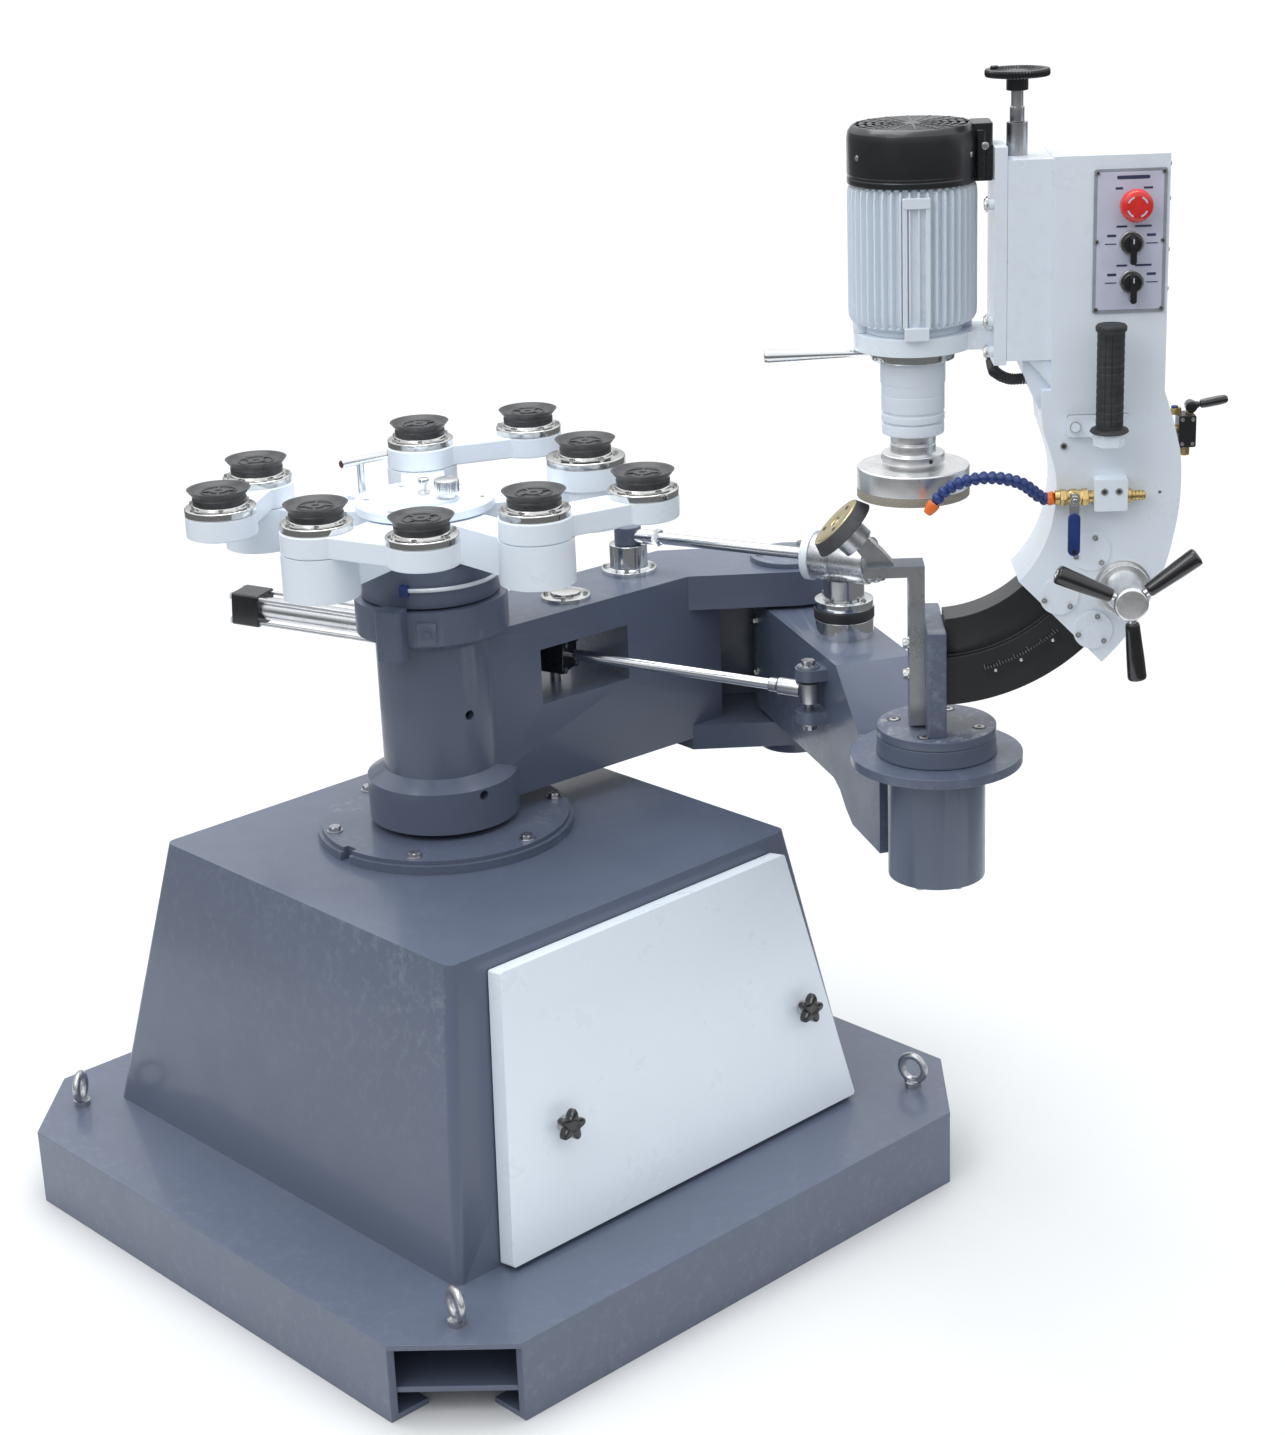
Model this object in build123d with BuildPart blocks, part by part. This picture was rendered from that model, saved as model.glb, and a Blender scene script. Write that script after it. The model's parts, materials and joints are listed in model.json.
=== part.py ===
from build123d import *
import os
from math import acos, cos, degrees, pi, radians, sin, sqrt

# Single-arm glass edge grinding machine. Millimetres, +Z up.
# Origin: centre of the floor frame at floor level. -Y is the door side.

# ---- driving dimensions -------------------------------------------------
base_size = 1050.0          # square floor frame
base_corner = 119.0         # corner cut of the floor frame
base_height = 112.0
deck_thickness = 8.0
wall_thickness = 12.0
pedestal_top = 518.7
pedestal_wall = 10.0
column_y = 72.0             # column axis, x = 0
post_radius = 50.0
sleeve_bore = 68.0
arm_angle = -3.5            # plan direction of the main arm, degrees from +X
arm_half_width = 70.0
arm_bottom, arm_top = 562.0, 815.0
arm_length = 470.0
elbow_x, elbow_y = 572.0, -72.0
ear_radius = 75.0
forearm_angle = -116.6      # plan direction of the forearm
forearm_half_width = 57.5
forearm_length = 560.0
forearm_top = 757.0
head_angle = -45.0          # plan direction in which the head stands out
arc_z = 1047.0              # height of the tilt centre
rail_inner, rail_step, rail_outer = 159.0, 211.0, 275.0
casing_inner, casing_outer = 145.0, 299.0
casing_half_depth = 50.0
motor_h = -29.0             # motor axis, measured along the head direction
cup_circle = 241.0          # radius of the five posts of the table
cup_phase = -20.0
link_pitch = 165.0
link_top = 1022.0
gap = 0.3                   # clearance between pieces that move apart
fit = 0.05                  # radial running fit

os.makedirs("parts", exist_ok=True)


# ---- places -------------------------------------------------------------
def plan_direction(angle):
    return (cos(radians(angle)), sin(radians(angle)), 0)


wrist_x = elbow_x + forearm_length * cos(radians(forearm_angle))
wrist_y = elbow_y + forearm_length * sin(radians(forearm_angle))


def column_at(height):
    return Plane(origin=(0, column_y, height), x_dir=(1, 0, 0), z_dir=(0, 0, 1))


def arm_at(height):
    return Plane(origin=(0, column_y, height), x_dir=plan_direction(arm_angle), z_dir=(0, 0, 1))


def elbow_at(height):
    return Plane(origin=(elbow_x, elbow_y, height), x_dir=plan_direction(forearm_angle), z_dir=(0, 0, 1))


def wrist_at(height):
    return Plane(origin=(wrist_x, wrist_y, height), x_dir=plan_direction(head_angle), z_dir=(0, 0, 1))


def arc_at(towards_front):
    # upright plane of the arc: x outwards along the head direction, y up
    front = plan_direction(head_angle - 90)
    centre = Plane(origin=(wrist_x, wrist_y, arc_z), x_dir=plan_direction(head_angle), z_dir=front)
    return centre.offset(towards_front)


def motor_at(height):
    return Plane(
        origin=wrist_at(height).from_local_coords((motor_h, 0, 0)),
        x_dir=plan_direction(head_angle),
        z_dir=(0, 0, 1),
    )


def arm_local(x, y):
    # plan point given in floor coordinates, in the main arm's own coordinates
    point = arm_at(0).to_local_coords(Vector(x, y, 0))
    return (point.X, point.Y)


def stack(plane_at, steps, bore=0.0):
    # coaxial discs, each (low, high, radius), with one through bore
    with BuildPart() as turned:
        for low, high, radius in steps:
            with BuildSketch(plane_at(low)):
                Circle(radius)
            extrude(amount=high - low)
        if bore:
            low = min(step[0] for step in steps)
            high = max(step[1] for step in steps)
            with BuildSketch(plane_at(low)):
                Circle(bore)
            extrude(amount=high - low, mode=Mode.SUBTRACT)
    return turned.part


elbow_arm_x, elbow_arm_y = arm_local(elbow_x, elbow_y)

# ---- floor frame --------------------------------------------------------
straight_side = base_size - 2 * base_corner
lip_width, lip_thickness = 60.0, 8.0
corner_cut_distance = (base_size - base_corner) / sqrt(2)
shelf_depth, shelf_width, shelf_z = 90.0, 184.0, 36.0
eye_place = 432.0

with BuildPart() as base_frame:
    with BuildSketch(Plane.XY.offset(base_height - deck_thickness)) as deck:
        Rectangle(base_size, base_size)
        chamfer(deck.vertices(), length=base_corner)
    extrude(amount=deck_thickness)
    with BuildSketch(Plane.XY):
        with PolarLocations(base_size / 2 - wall_thickness / 2, 4):
            Rectangle(wall_thickness, straight_side)
    extrude(amount=base_height)
    with BuildSketch(Plane.XY):
        with PolarLocations(base_size / 2 - lip_width / 2, 4):
            Rectangle(lip_width, straight_side)
        Rectangle(lip_width, base_size - lip_width)
    extrude(amount=lip_thickness)
    with BuildSketch(Plane.XY.offset(shelf_z)):
        with PolarLocations(corner_cut_distance - 13 - shelf_depth / 2, 4, start_angle=45):
            Rectangle(shelf_depth, shelf_width)
    extrude(amount=lip_thickness)
    with BuildSketch(Plane.XY.offset(base_height - deck_thickness)):
        with GridLocations(2 * eye_place, 2 * eye_place, 2, 2):
            Circle(6.1)
    extrude(amount=deck_thickness, mode=Mode.SUBTRACT)
base_frame.part.label = "base_frame"
export_step(base_frame.part, "parts/base_frame.step")

# four lifting eyes, each turned its own way
eye_ring, eye_wire, eye_collar = 19.0, 5.5, 8.0
eye_turns = {(-1, 1): 40, (-1, -1): 75, (1, -1): 100, (1, 1): 20}
with BuildPart() as eye_bolts:
    for (side_x, side_y), turn in eye_turns.items():
        place = (side_x * eye_place, side_y * eye_place)
        with BuildSketch(Plane.XY.offset(base_height)):
            with Locations(place):
                Circle(12)
        extrude(amount=eye_collar)
        with BuildSketch(Plane.XY.offset(base_height - deck_thickness - 6)):
            with Locations(place):
                Circle(6)
        extrude(amount=deck_thickness + 6)
        ring_z = base_height + eye_collar + eye_ring + 2
        ring_place = Location((place[0], place[1], ring_z), (0, 0, turn))
        with Locations(ring_place * Location((0, 0, 0), (90, 0, 0))):
            Torus(eye_ring, eye_wire)
eye_bolts.part.label = "eye_bolts"
export_step(eye_bolts.part, "parts/eye_bolts.step")

# ---- pedestal -----------------------------------------------------------
pedestal_bottom_size = (758.0, 782.0)
pedestal_top_size = (616.0, 635.0)
pedestal_bottom_y, pedestal_top_y = 23.0, 11.5
pedestal_rise = pedestal_top - base_height
front_bottom_y = pedestal_bottom_y - pedestal_bottom_size[1] / 2
front_top_y = pedestal_top_y - pedestal_top_size[1] / 2
front_slope = sqrt(pedestal_rise**2 + (front_top_y - front_bottom_y) ** 2)
front_plane = Plane(
    origin=(0, front_bottom_y, base_height),
    x_dir=(1, 0, 0),
    z_dir=(0, -pedestal_rise / front_slope, (front_top_y - front_bottom_y) / front_slope),
)
flange_radius = 183.0
flange_bolt_circle, flange_bolt_start = 162.0, 35.0
knob_places = {"door_knob_left": (-189.0, 161.0), "door_knob_right": (266.0, 164.0)}

with BuildPart() as pedestal:
    with BuildSketch(Plane.XY.offset(base_height)):
        with Locations((0, pedestal_bottom_y)):
            Rectangle(*pedestal_bottom_size)
    with BuildSketch(Plane.XY.offset(pedestal_top)):
        with Locations((0, pedestal_top_y)):
            Rectangle(*pedestal_top_size)
    loft()
    slanted = pedestal.edges().filter_by(lambda edge: edge.bounding_box().size.Z > 100)
    fillet(slanted, radius=14)
    with BuildSketch(Plane.XY.offset(base_height)):
        with Locations((0, pedestal_bottom_y)):
            Rectangle(*[side - 2 * pedestal_wall for side in pedestal_bottom_size])
    with BuildSketch(Plane.XY.offset(pedestal_top - 12)):
        with Locations((0, pedestal_top_y)):
            Rectangle(*[side - 2 * pedestal_wall + 4 for side in pedestal_top_size])
    loft(mode=Mode.SUBTRACT)
    with BuildSketch(front_plane.offset(20)):
        with Locations((10, 205)):
            Rectangle(420, 290)
    extrude(amount=-60, mode=Mode.SUBTRACT)
    with BuildSketch(column_at(pedestal_top)):
        Circle(60)
        with PolarLocations(flange_bolt_circle, 6, start_angle=flange_bolt_start):
            Circle(5.3)
    extrude(amount=-40, mode=Mode.SUBTRACT)
    with BuildSketch(front_plane.offset(20)):
        with Locations(*knob_places.values()):
            Circle(5.5)
    extrude(amount=-60, mode=Mode.SUBTRACT)
pedestal.part.label = "pedestal"
export_step(pedestal.part, "parts/pedestal.step")

# ---- access door: a shallow folded tray on the front slope --------------
door_gap, door_depth, door_skin = 2.0, 26.0, 3.0
door_outline = [(-306, 3), (348, 3), (272, 389), (-250, 389)]

with BuildPart() as access_door:
    with BuildSketch(front_plane.offset(door_gap)):
        with BuildLine():
            Polyline(*door_outline, close=True)
        make_face()
    extrude(amount=door_depth)
    fillet(access_door.edges().filter_by(Axis(front_plane.origin, front_plane.z_dir)), radius=4)
    with BuildSketch(front_plane.offset(door_gap)):
        with BuildLine():
            Polyline(*door_outline, close=True)
        make_face()
        offset(amount=-door_skin, mode=Mode.REPLACE)
    extrude(amount=door_depth - door_skin, mode=Mode.SUBTRACT)
    with BuildSketch(front_plane):
        with Locations(*knob_places.values()):
            Circle(5.5)
    extrude(amount=door_depth + 10, mode=Mode.SUBTRACT)
access_door.part.label = "access_door"
export_step(access_door.part, "parts/access_door.step")

# five-lobed clamp knobs
knob_base = door_gap + door_depth + gap
for knob_name, knob_place in knob_places.items():
    with BuildPart() as door_knob:
        with BuildSketch(front_plane.offset(knob_base)):
            with Locations(knob_place):
                Circle(11)
        extrude(amount=8)
        with BuildSketch(front_plane.offset(knob_base + 8)):
            with Locations(knob_place):
                Circle(15)
                with PolarLocations(15, 5):
                    Circle(8)
        extrude(amount=15)
        with BuildSketch(front_plane.offset(knob_base)):
            with Locations(knob_place):
                Circle(5)
        extrude(amount=-(knob_base + 22))
    door_knob.part.label = knob_name
    export_step(door_knob.part, f"parts/{knob_name}.step")

# ---- fixed column -------------------------------------------------------
sleeve_bottom, sleeve_top = 546.0, 870.0
turret_low, turret_high, turret_radius = 873.0, 926.0, 96.0
shaft_radius = 25.0
post_bore = 36.0
flange_top = 537.0
air_line_z = 900.0


def air_line_point(turn):
    reach = turret_radius + 3
    return (reach * cos(radians(turn)), column_y + reach * sin(radians(turn)), air_line_z)


with BuildPart() as column_post:
    add(stack(column_at, [
        (pedestal_top, 531, flange_radius),
        (531, flange_top, flange_radius - 6),
        (flange_top, turret_low, post_radius),
        (turret_low, turret_high, turret_radius),
    ], bore=post_bore))
    with BuildSketch(column_at(pedestal_top)):
        with PolarLocations(flange_bolt_circle, 6, start_angle=flange_bolt_start):
            Circle(5.3)
        with Locations((-flange_radius, 0)):
            Rectangle(30, 20)
    extrude(amount=30, mode=Mode.SUBTRACT)
    # air line round the front of the turret, between two elbow fittings
    with BuildLine() as air_line:
        Line(air_line_point(-149), air_line_point(-148))
        CenterArc((0, column_y, air_line_z), turret_radius + 3, -148, 108)
    with BuildSketch(Plane(origin=air_line.line @ 0, z_dir=air_line.line % 0)):
        Circle(2.95)
    sweep()
    for turn in (-149, -40):
        with BuildSketch(column_at(air_line_z - 7)):
            with Locations(Rotation(0, 0, turn) * Location((turret_radius + 3, 0, 0))):
                Rectangle(12, 12)
        extrude(amount=14)
column_post.part.label = "column_post"
export_step(column_post.part, "parts/column_post.step")

with BuildPart() as flange_bolts:
    for turn in range(6):
        angle = flange_bolt_start + 60 * turn
        place = (flange_bolt_circle * cos(radians(angle)), flange_bolt_circle * sin(radians(angle)))
        with BuildSketch(column_at(flange_top)):
            with Locations(place):
                RegularPolygon(9, 6)
        extrude(amount=7)
        with BuildSketch(column_at(flange_top)):
            with Locations(place):
                Circle(5)
        extrude(amount=-42)
flange_bolts.part.label = "flange_bolts"
export_step(flange_bolts.part, "parts/flange_bolts.step")

# rings between the post and the arm's sleeve, and between the shaft and the post
with BuildPart() as column_bearings:
    for low, high in ((556, 586), (836, 866)):
        add(stack(column_at, [(low, high, sleeve_bore - fit)], bore=post_radius + fit))
    for low, high in ((560, 582), (884, 906)):
        add(stack(column_at, [(low, high, post_bore - fit)], bore=shaft_radius + fit))
column_bearings.part.label = "column_bearings"
export_step(column_bearings.part, "parts/column_bearings.step")

# ---- table drive inside the pedestal ------------------------------------
gearbox_size, gearbox_low = 150.0, 392.0
gearbox_high = pedestal_top - 12
motor_axis_z = 446.0
motor_flange = Plane(
    origin=(0, column_y + gearbox_size / 2, motor_axis_z),
    x_dir=(1, 0, 0),
    z_dir=(0, 1, 0),
)

with BuildPart() as table_gear_motor:
    with BuildSketch(column_at(gearbox_low)):
        RectangleRounded(gearbox_size, gearbox_size, 12)
    extrude(amount=gearbox_high - gearbox_low)
    with BuildSketch(motor_flange):
        Circle(46)
    extrude(amount=150)
    with BuildSketch(motor_flange):
        Circle(54)
    extrude(amount=10)
    with BuildSketch(column_at(gearbox_low)):
        Circle(shaft_radius + fit)
    extrude(amount=gearbox_high - gearbox_low, mode=Mode.SUBTRACT)
table_gear_motor.part.label = "table_gear_motor"
export_step(table_gear_motor.part, "parts/table_gear_motor.step")

# ---- main arm -----------------------------------------------------------
collar_radius, tube_radius = 107.0, 82.0
upper_ear_low = 763.0
lower_ear_low, lower_ear_high = 544.0, 582.0
plate = 10.0
window_x, window_width = 212.0, 160.0
window_low, window_high = 686.0, 768.0
elbow_pin_radius = 25.0
trunnion_x, trunnion_y = 211.5, 2.6
tie_post_x, tie_post_y = arm_local(372.9, 68.8)
port_x, port_y = arm_local(220.0, 39.7)


def ear_outline():
    with BuildSketch(mode=Mode.PRIVATE) as outline:
        with Locations((arm_length - 30, 0)):
            Rectangle(60, 2 * arm_half_width)
        with Locations((elbow_arm_x, elbow_arm_y)):
            Circle(ear_radius)
        make_hull()
    return outline.sketch


with BuildPart() as main_arm:
    with BuildSketch(arm_at(arm_bottom)):
        with Locations((arm_length / 2, 0)):
            Rectangle(arm_length, 2 * arm_half_width)
    extrude(amount=arm_top - arm_bottom)
    with BuildSketch(arm_at(arm_bottom + plate)):
        with Locations((arm_length / 2, 0)):
            Rectangle(arm_length - 2 * plate, 2 * (arm_half_width - plate))
    extrude(amount=arm_top - arm_bottom - 2 * plate, mode=Mode.SUBTRACT)
    # lined window that the air cylinder passes through
    with BuildSketch(arm_at(window_low - plate)):
        with Locations((window_x, 0)):
            Rectangle(window_width + 2 * plate, 2 * arm_half_width)
    extrude(amount=window_high - window_low + 2 * plate)
    with BuildSketch(arm_at(window_low)):
        with Locations((window_x, 0)):
            Rectangle(window_width, 2 * arm_half_width + 10)
    extrude(amount=window_high - window_low, mode=Mode.SUBTRACT)
    # sleeve on the column
    add(stack(column_at, [
        (sleeve_bottom, 606, collar_radius),
        (606, 822, tube_radius),
        (822, sleeve_top, collar_radius),
    ]))
    for low, high in ((606, 620), (808, 822)):
        upper = high > 700
        with BuildSketch(column_at(low)):
            Circle(tube_radius if upper else collar_radius)
        with BuildSketch(column_at(high)):
            Circle(collar_radius if upper else tube_radius)
        loft()
    # elbow ears
    with BuildSketch(arm_at(upper_ear_low)):
        add(ear_outline())
    extrude(amount=arm_top - upper_ear_low)
    with BuildSketch(arm_at(lower_ear_low)):
        add(ear_outline())
    extrude(amount=lower_ear_high - lower_ear_low)
    # stop block on the upper collar
    with BuildSketch(column_at(806)):
        with Locations(Rotation(0, 0, -158) * Location((113, 0, 0))):
            RectangleRounded(30, 40, 8)
    extrude(amount=70)
    # small bolted tab on the same collar
    with BuildSketch(column_at(826)):
        with Locations(Rotation(0, 0, -133) * Location((107, 0, 0))):
            Rectangle(10, 26)
    extrude(amount=30)
    tab_face = Plane(
        origin=column_at(841).from_local_coords((112 * cos(radians(-133)), 112 * sin(radians(-133)), 0)),
        z_dir=plan_direction(-133),
    )
    with BuildSketch(tab_face):
        Circle(5)
    extrude(amount=3)
    # bores
    with BuildSketch(column_at(sleeve_bottom)):
        Circle(sleeve_bore)
    extrude(amount=sleeve_top - sleeve_bottom, mode=Mode.SUBTRACT)
    with BuildSketch(arm_at(lower_ear_low)):
        with Locations((elbow_arm_x, elbow_arm_y)):
            Circle(elbow_pin_radius + fit)
    extrude(amount=arm_top - lower_ear_low, mode=Mode.SUBTRACT)
    with BuildSketch(arm_at(window_low - plate)):
        with Locations((trunnion_x, trunnion_y)):
            Circle(8 + fit)
    extrude(amount=window_high - window_low + 2 * plate, mode=Mode.SUBTRACT)
    # grease holes in the sleeve
    for grease_z in (596, 708):
        sleeve_face = Plane(origin=(0, column_y, grease_z), x_dir=(1, 0, 0), z_dir=plan_direction(-97))
        with BuildSketch(sleeve_face):
            Circle(7)
        extrude(amount=130, mode=Mode.SUBTRACT)
main_arm.part.label = "main_arm"
export_step(main_arm.part, "parts/main_arm.step")

with BuildPart() as elbow_pin:
    add(stack(elbow_at, [
        (arm_top, arm_top + 8, 60),
        (522, lower_ear_low, 52),
        (522, arm_top, elbow_pin_radius),
    ]))
    with BuildSketch(elbow_at(arm_top + 8)):
        with PolarLocations(46, 3, start_angle=20):
            Circle(6)
    extrude(amount=5)
elbow_pin.part.label = "elbow_pin"
export_step(elbow_pin.part, "parts/elbow_pin.step")

# chrome post for the tie rod, and the round cover beside it
tie_z = 870.0
tie_head_low = 858.0
with BuildPart() as arm_top_fittings:
    for low, high, radius in ((arm_top, 821, 41), (821, tie_head_low - gap, 28.4)):
        with BuildSketch(arm_at(low)):
            with Locations((tie_post_x, tie_post_y)):
                Circle(radius)
        extrude(amount=high - low)
    for low, high, radius in ((arm_top, 820, 36), (820, 826, 22)):
        with BuildSketch(arm_at(low)):
            with Locations((port_x, port_y)):
                Circle(radius)
        extrude(amount=high - low)
    for centre, radius in (((tie_post_x, tie_post_y), 35), ((port_x, port_y), 29)):
        with BuildSketch(arm_at(arm_top + 4)):
            with Locations(centre):
                with PolarLocations(radius, 4, start_angle=45):
                    Circle(3.5)
        extrude(amount=6)
    with BuildSketch(arm_at(836)):
        with Locations((tie_post_x, tie_post_y)):
            Circle(10)
    extrude(amount=40, mode=Mode.SUBTRACT)
arm_top_fittings.part.label = "arm_top_fittings"
export_step(arm_top_fittings.part, "parts/arm_top_fittings.step")

# ---- forearm ------------------------------------------------------------
root_low = lower_ear_high + gap + 2
root_high = upper_ear_low - gap - 2
housing_radius = 64.6
housing_high = 686.0
lug_along, lug_across = 288.0, -79.0
eye_z = 708.0
pivot_play = 5.0            # the loop is opened here: bolt 6 radius in a hole 11 radius
forearm_side = Plane(
    origin=(elbow_x, elbow_y, 0),
    x_dir=plan_direction(forearm_angle),
    z_dir=plan_direction(forearm_angle - 90),
)
forearm_post_place = (211.0, 5.0)

with BuildPart() as forearm:
    with BuildSketch(forearm_side.offset(-forearm_half_width)):
        with BuildLine():
            Polyline(
                (0, forearm_top), (340, forearm_top), (425, 683), (500, 683), (500, 537),
                (398, 541), (372, 556), (350, 576), (325, 586), (0, 588), close=True,
            )
        make_face()
    extrude(amount=2 * forearm_half_width)
    with BuildSketch(forearm_side.offset(-forearm_half_width + plate)):
        with BuildLine():
            Polyline(
                (45, forearm_top - plate), (335, forearm_top - plate), (418, 672), (470, 672), (470, 552),
                (404, 552), (378, 568), (356, 588), (328, 598), (45, 598), close=True,
            )
        make_face()
    extrude(amount=2 * (forearm_half_width - plate), mode=Mode.SUBTRACT)
    with BuildSketch(elbow_at(root_low)):
        Circle(forearm_half_width)
    extrude(amount=root_high - root_low)
    with BuildSketch(elbow_at(500)):
        with Locations((forearm_length, 0)):
            Circle(housing_radius + 0.02)
    extrude(amount=300, mode=Mode.SUBTRACT)
    with BuildSketch(elbow_at(500)):
        Circle(elbow_pin_radius + fit)
    extrude(amount=300, mode=Mode.SUBTRACT)
    # pair of lugs for the air cylinder's rod end
    for low in (724, 661):
        with BuildSketch(elbow_at(low)):
            with Locations((lug_along, lug_across)):
                Circle(19)
            with Locations((lug_along, (lug_across - forearm_half_width + 1) / 2)):
                Rectangle(38, abs(lug_across) - forearm_half_width + 1)
        extrude(amount=17)
    # bolt through both lugs, with a washer and a nut at each end
    for low, high, radius in ((661, 741, 6), (741, 744, 16), (658, 661, 16)):
        with BuildSketch(elbow_at(low)):
            with Locations((lug_along, lug_across)):
                Circle(radius)
        extrude(amount=high - low)
    for low in (744, 650):
        with BuildSketch(elbow_at(low)):
            with Locations((lug_along, lug_across)):
                RegularPolygon(10.5, 6)
        extrude(amount=8)
forearm.part.label = "forearm"
export_step(forearm.part, "parts/forearm.step")

# seat for the tie rod's swivel head
with BuildPart() as forearm_post:
    for low, high, radius in ((forearm_top, 783, 42), (783, 799, 43), (799, 811, 42)):
        with BuildSketch(elbow_at(low)):
            with Locations(forearm_post_place):
                Circle(radius)
        extrude(amount=high - low)
    with BuildSketch(elbow_at(811)):
        with Locations(forearm_post_place):
            with PolarLocations(36, 4, start_angle=30):
                Circle(3.5)
    extrude(amount=4)
    with BuildSketch(elbow_at(780)):
        with Locations(forearm_post_place):
            Circle(20)
    extrude(amount=40, mode=Mode.SUBTRACT)
forearm_post.part.label = "forearm_post"
export_step(forearm_post.part, "parts/forearm_post.step")

# upright housing at the end of the forearm, with its slotted disc and bottom cap
disc_radius, disc_top = 113.4, 699.0
wrist_shaft_radius = 32.0

with BuildPart() as wrist_housing:
    add(stack(wrist_at, [(525, housing_high, housing_radius), (housing_high, disc_top, disc_radius)]))
    with BuildSketch(wrist_at(542)):
        Circle(wrist_shaft_radius + fit)
    extrude(amount=disc_top - 542, mode=Mode.SUBTRACT)
    with BuildSketch(wrist_at(housing_high)):
        SlotArc(CenterArc((0, 0), 96, 195, 75, mode=Mode.PRIVATE), 9)
    extrude(amount=disc_top - housing_high, mode=Mode.SUBTRACT)
    with BuildSketch(wrist_at(525)):
        with PolarLocations(50, 6):
            Circle(6)
    extrude(amount=-6)
wrist_housing.part.label = "wrist_housing"
export_step(wrist_housing.part, "parts/wrist_housing.step")

# ---- tie rod between the arm and the forearm ----------------------------
tie_start = arm_at(tie_z).from_local_coords((tie_post_x, tie_post_y, 0))
tie_end = elbow_at(tie_z).from_local_coords((forearm_post_place[0], forearm_post_place[1], 0))
tie_span = (tie_end - tie_start).length
tie_direction = (tie_end - tie_start).normalized()
rod_radius, hub_length = 8.5, 84.0
hub_bore = rod_radius + 4       # the rod slides in the hub; this pivot loop is open here


def tie_at(distance):
    return Plane(
        origin=tie_start + tie_direction * distance,
        x_dir=(-tie_direction.Y, tie_direction.X, 0),
        z_dir=tie_direction,
    )


with BuildPart() as tie_rod:
    with BuildSketch(arm_at(tie_head_low)):
        with Locations((tie_post_x, tie_post_y)):
            Circle(20)
    extrude(amount=27)
    with BuildSketch(arm_at(838)):
        with Locations((tie_post_x, tie_post_y)):
            Circle(10 - fit)
    extrude(amount=tie_head_low - 838)
    with BuildSketch(tie_at(0)):
        Circle(11)
    extrude(amount=46)
    with BuildSketch(tie_at(0)):
        Circle(rod_radius)
    extrude(amount=tie_span - 4)
tie_rod.part.label = "tie_rod"
export_step(tie_rod.part, "parts/tie_rod.step")

with BuildPart() as tie_rod_hub:
    with BuildSketch(elbow_at(811 + gap)):
        with Locations(forearm_post_place):
            Circle(29.5)
    extrude(amount=32)
    with BuildSketch(elbow_at(783)):
        with Locations(forearm_post_place):
            Circle(20 - fit)
    extrude(amount=30)
    with BuildSketch(tie_at(tie_span - hub_length / 2)):
        Circle(34)
    extrude(amount=hub_length)
    with BuildSketch(tie_at(tie_span - hub_length / 2 - 12)):
        Circle(36)
    extrude(amount=12)
    with BuildSketch(tie_at(tie_span + hub_length / 2)):
        with Locations((0, -14)):
            Circle(17)
    extrude(amount=14)
    with BuildSketch(tie_at(tie_span + hub_length / 2 + 14)):
        with Locations((0, -14)):
            RegularPolygon(7, 6)
    extrude(amount=-9, mode=Mode.SUBTRACT)
    with BuildSketch(tie_at(tie_span - hub_length / 2 - 12)):
        Circle(hub_bore)
    extrude(amount=hub_length, mode=Mode.SUBTRACT)
tie_rod_hub.part.label = "tie_rod_hub"
export_step(tie_rod_hub.part, "parts/tie_rod_hub.step")

# ---- air cylinder through the arm's window ------------------------------
eye_point = elbow_at(eye_z).from_local_coords((lug_along, lug_across, 0))
trunnion_point = arm_at(730.6).from_local_coords((trunnion_x, trunnion_y, 0))
trunnion_distance = (trunnion_point - eye_point).length
air_direction = (trunnion_point - eye_point).normalized()
cap_size = 50.0
barrel_radius, barrel_bore = 17.5, 15.5
barrel_end = 870.0
piston_distance = 640.0
rod_socket_radius = 10.8


def air_at(distance):
    return Plane(
        origin=eye_point + air_direction * distance,
        x_dir=(air_direction.Y, -air_direction.X, 0),
        z_dir=air_direction,
    )


with BuildPart() as air_cylinder:
    with BuildSketch(air_at(trunnion_distance - 25)):
        RectangleRounded(cap_size, cap_size, 4)
    extrude(amount=50)
    with BuildSketch(air_at(barrel_end)):
        RectangleRounded(cap_size, cap_size, 4)
    extrude(amount=45)
    with BuildSketch(air_at(trunnion_distance + 25)):
        Circle(barrel_radius)
    extrude(amount=barrel_end - trunnion_distance - 25)
    with BuildSketch(air_at(trunnion_distance - 30)):
        with GridLocations(38, 38, 2, 2):
            Circle(3)
    extrude(amount=barrel_end - trunnion_distance + 84)
    with BuildSketch(arm_at(window_low - plate + 1)):
        with Locations((trunnion_x, trunnion_y)):
            Circle(8)
    extrude(amount=window_high - window_low + 2 * plate - 2)
    with BuildSketch(air_at(trunnion_distance + 15)):
        Circle(barrel_bore)
    extrude(amount=barrel_end - trunnion_distance - 5, mode=Mode.SUBTRACT)
    with BuildSketch(air_at(trunnion_distance - 40)):
        Circle(8 + fit)
    extrude(amount=80, mode=Mode.SUBTRACT)
air_cylinder.part.label = "air_cylinder"
export_step(air_cylinder.part, "parts/air_cylinder.step")

# rod, piston and eye
with BuildPart() as cylinder_rod:
    with BuildSketch(air_at(0)):
        Circle(8)
    extrude(amount=piston_distance)
    with BuildSketch(air_at(piston_distance)):
        Circle(barrel_bore - fit)
    extrude(amount=-24)
    with BuildSketch(air_at(12)):
        Circle(rod_socket_radius)
    extrude(amount=46)
    with BuildSketch(elbow_at(eye_z - 18)):
        with Locations((lug_along, lug_across)):
            Circle(6 + pivot_play + 4)
    extrude(amount=30)
    with BuildSketch(elbow_at(eye_z - 18)):
        with Locations((lug_along, lug_across)):
            Circle(6 + pivot_play)
    extrude(amount=30, mode=Mode.SUBTRACT)
cylinder_rod.part.label = "cylinder_rod"
export_step(cylinder_rod.part, "parts/cylinder_rod.step")

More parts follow.
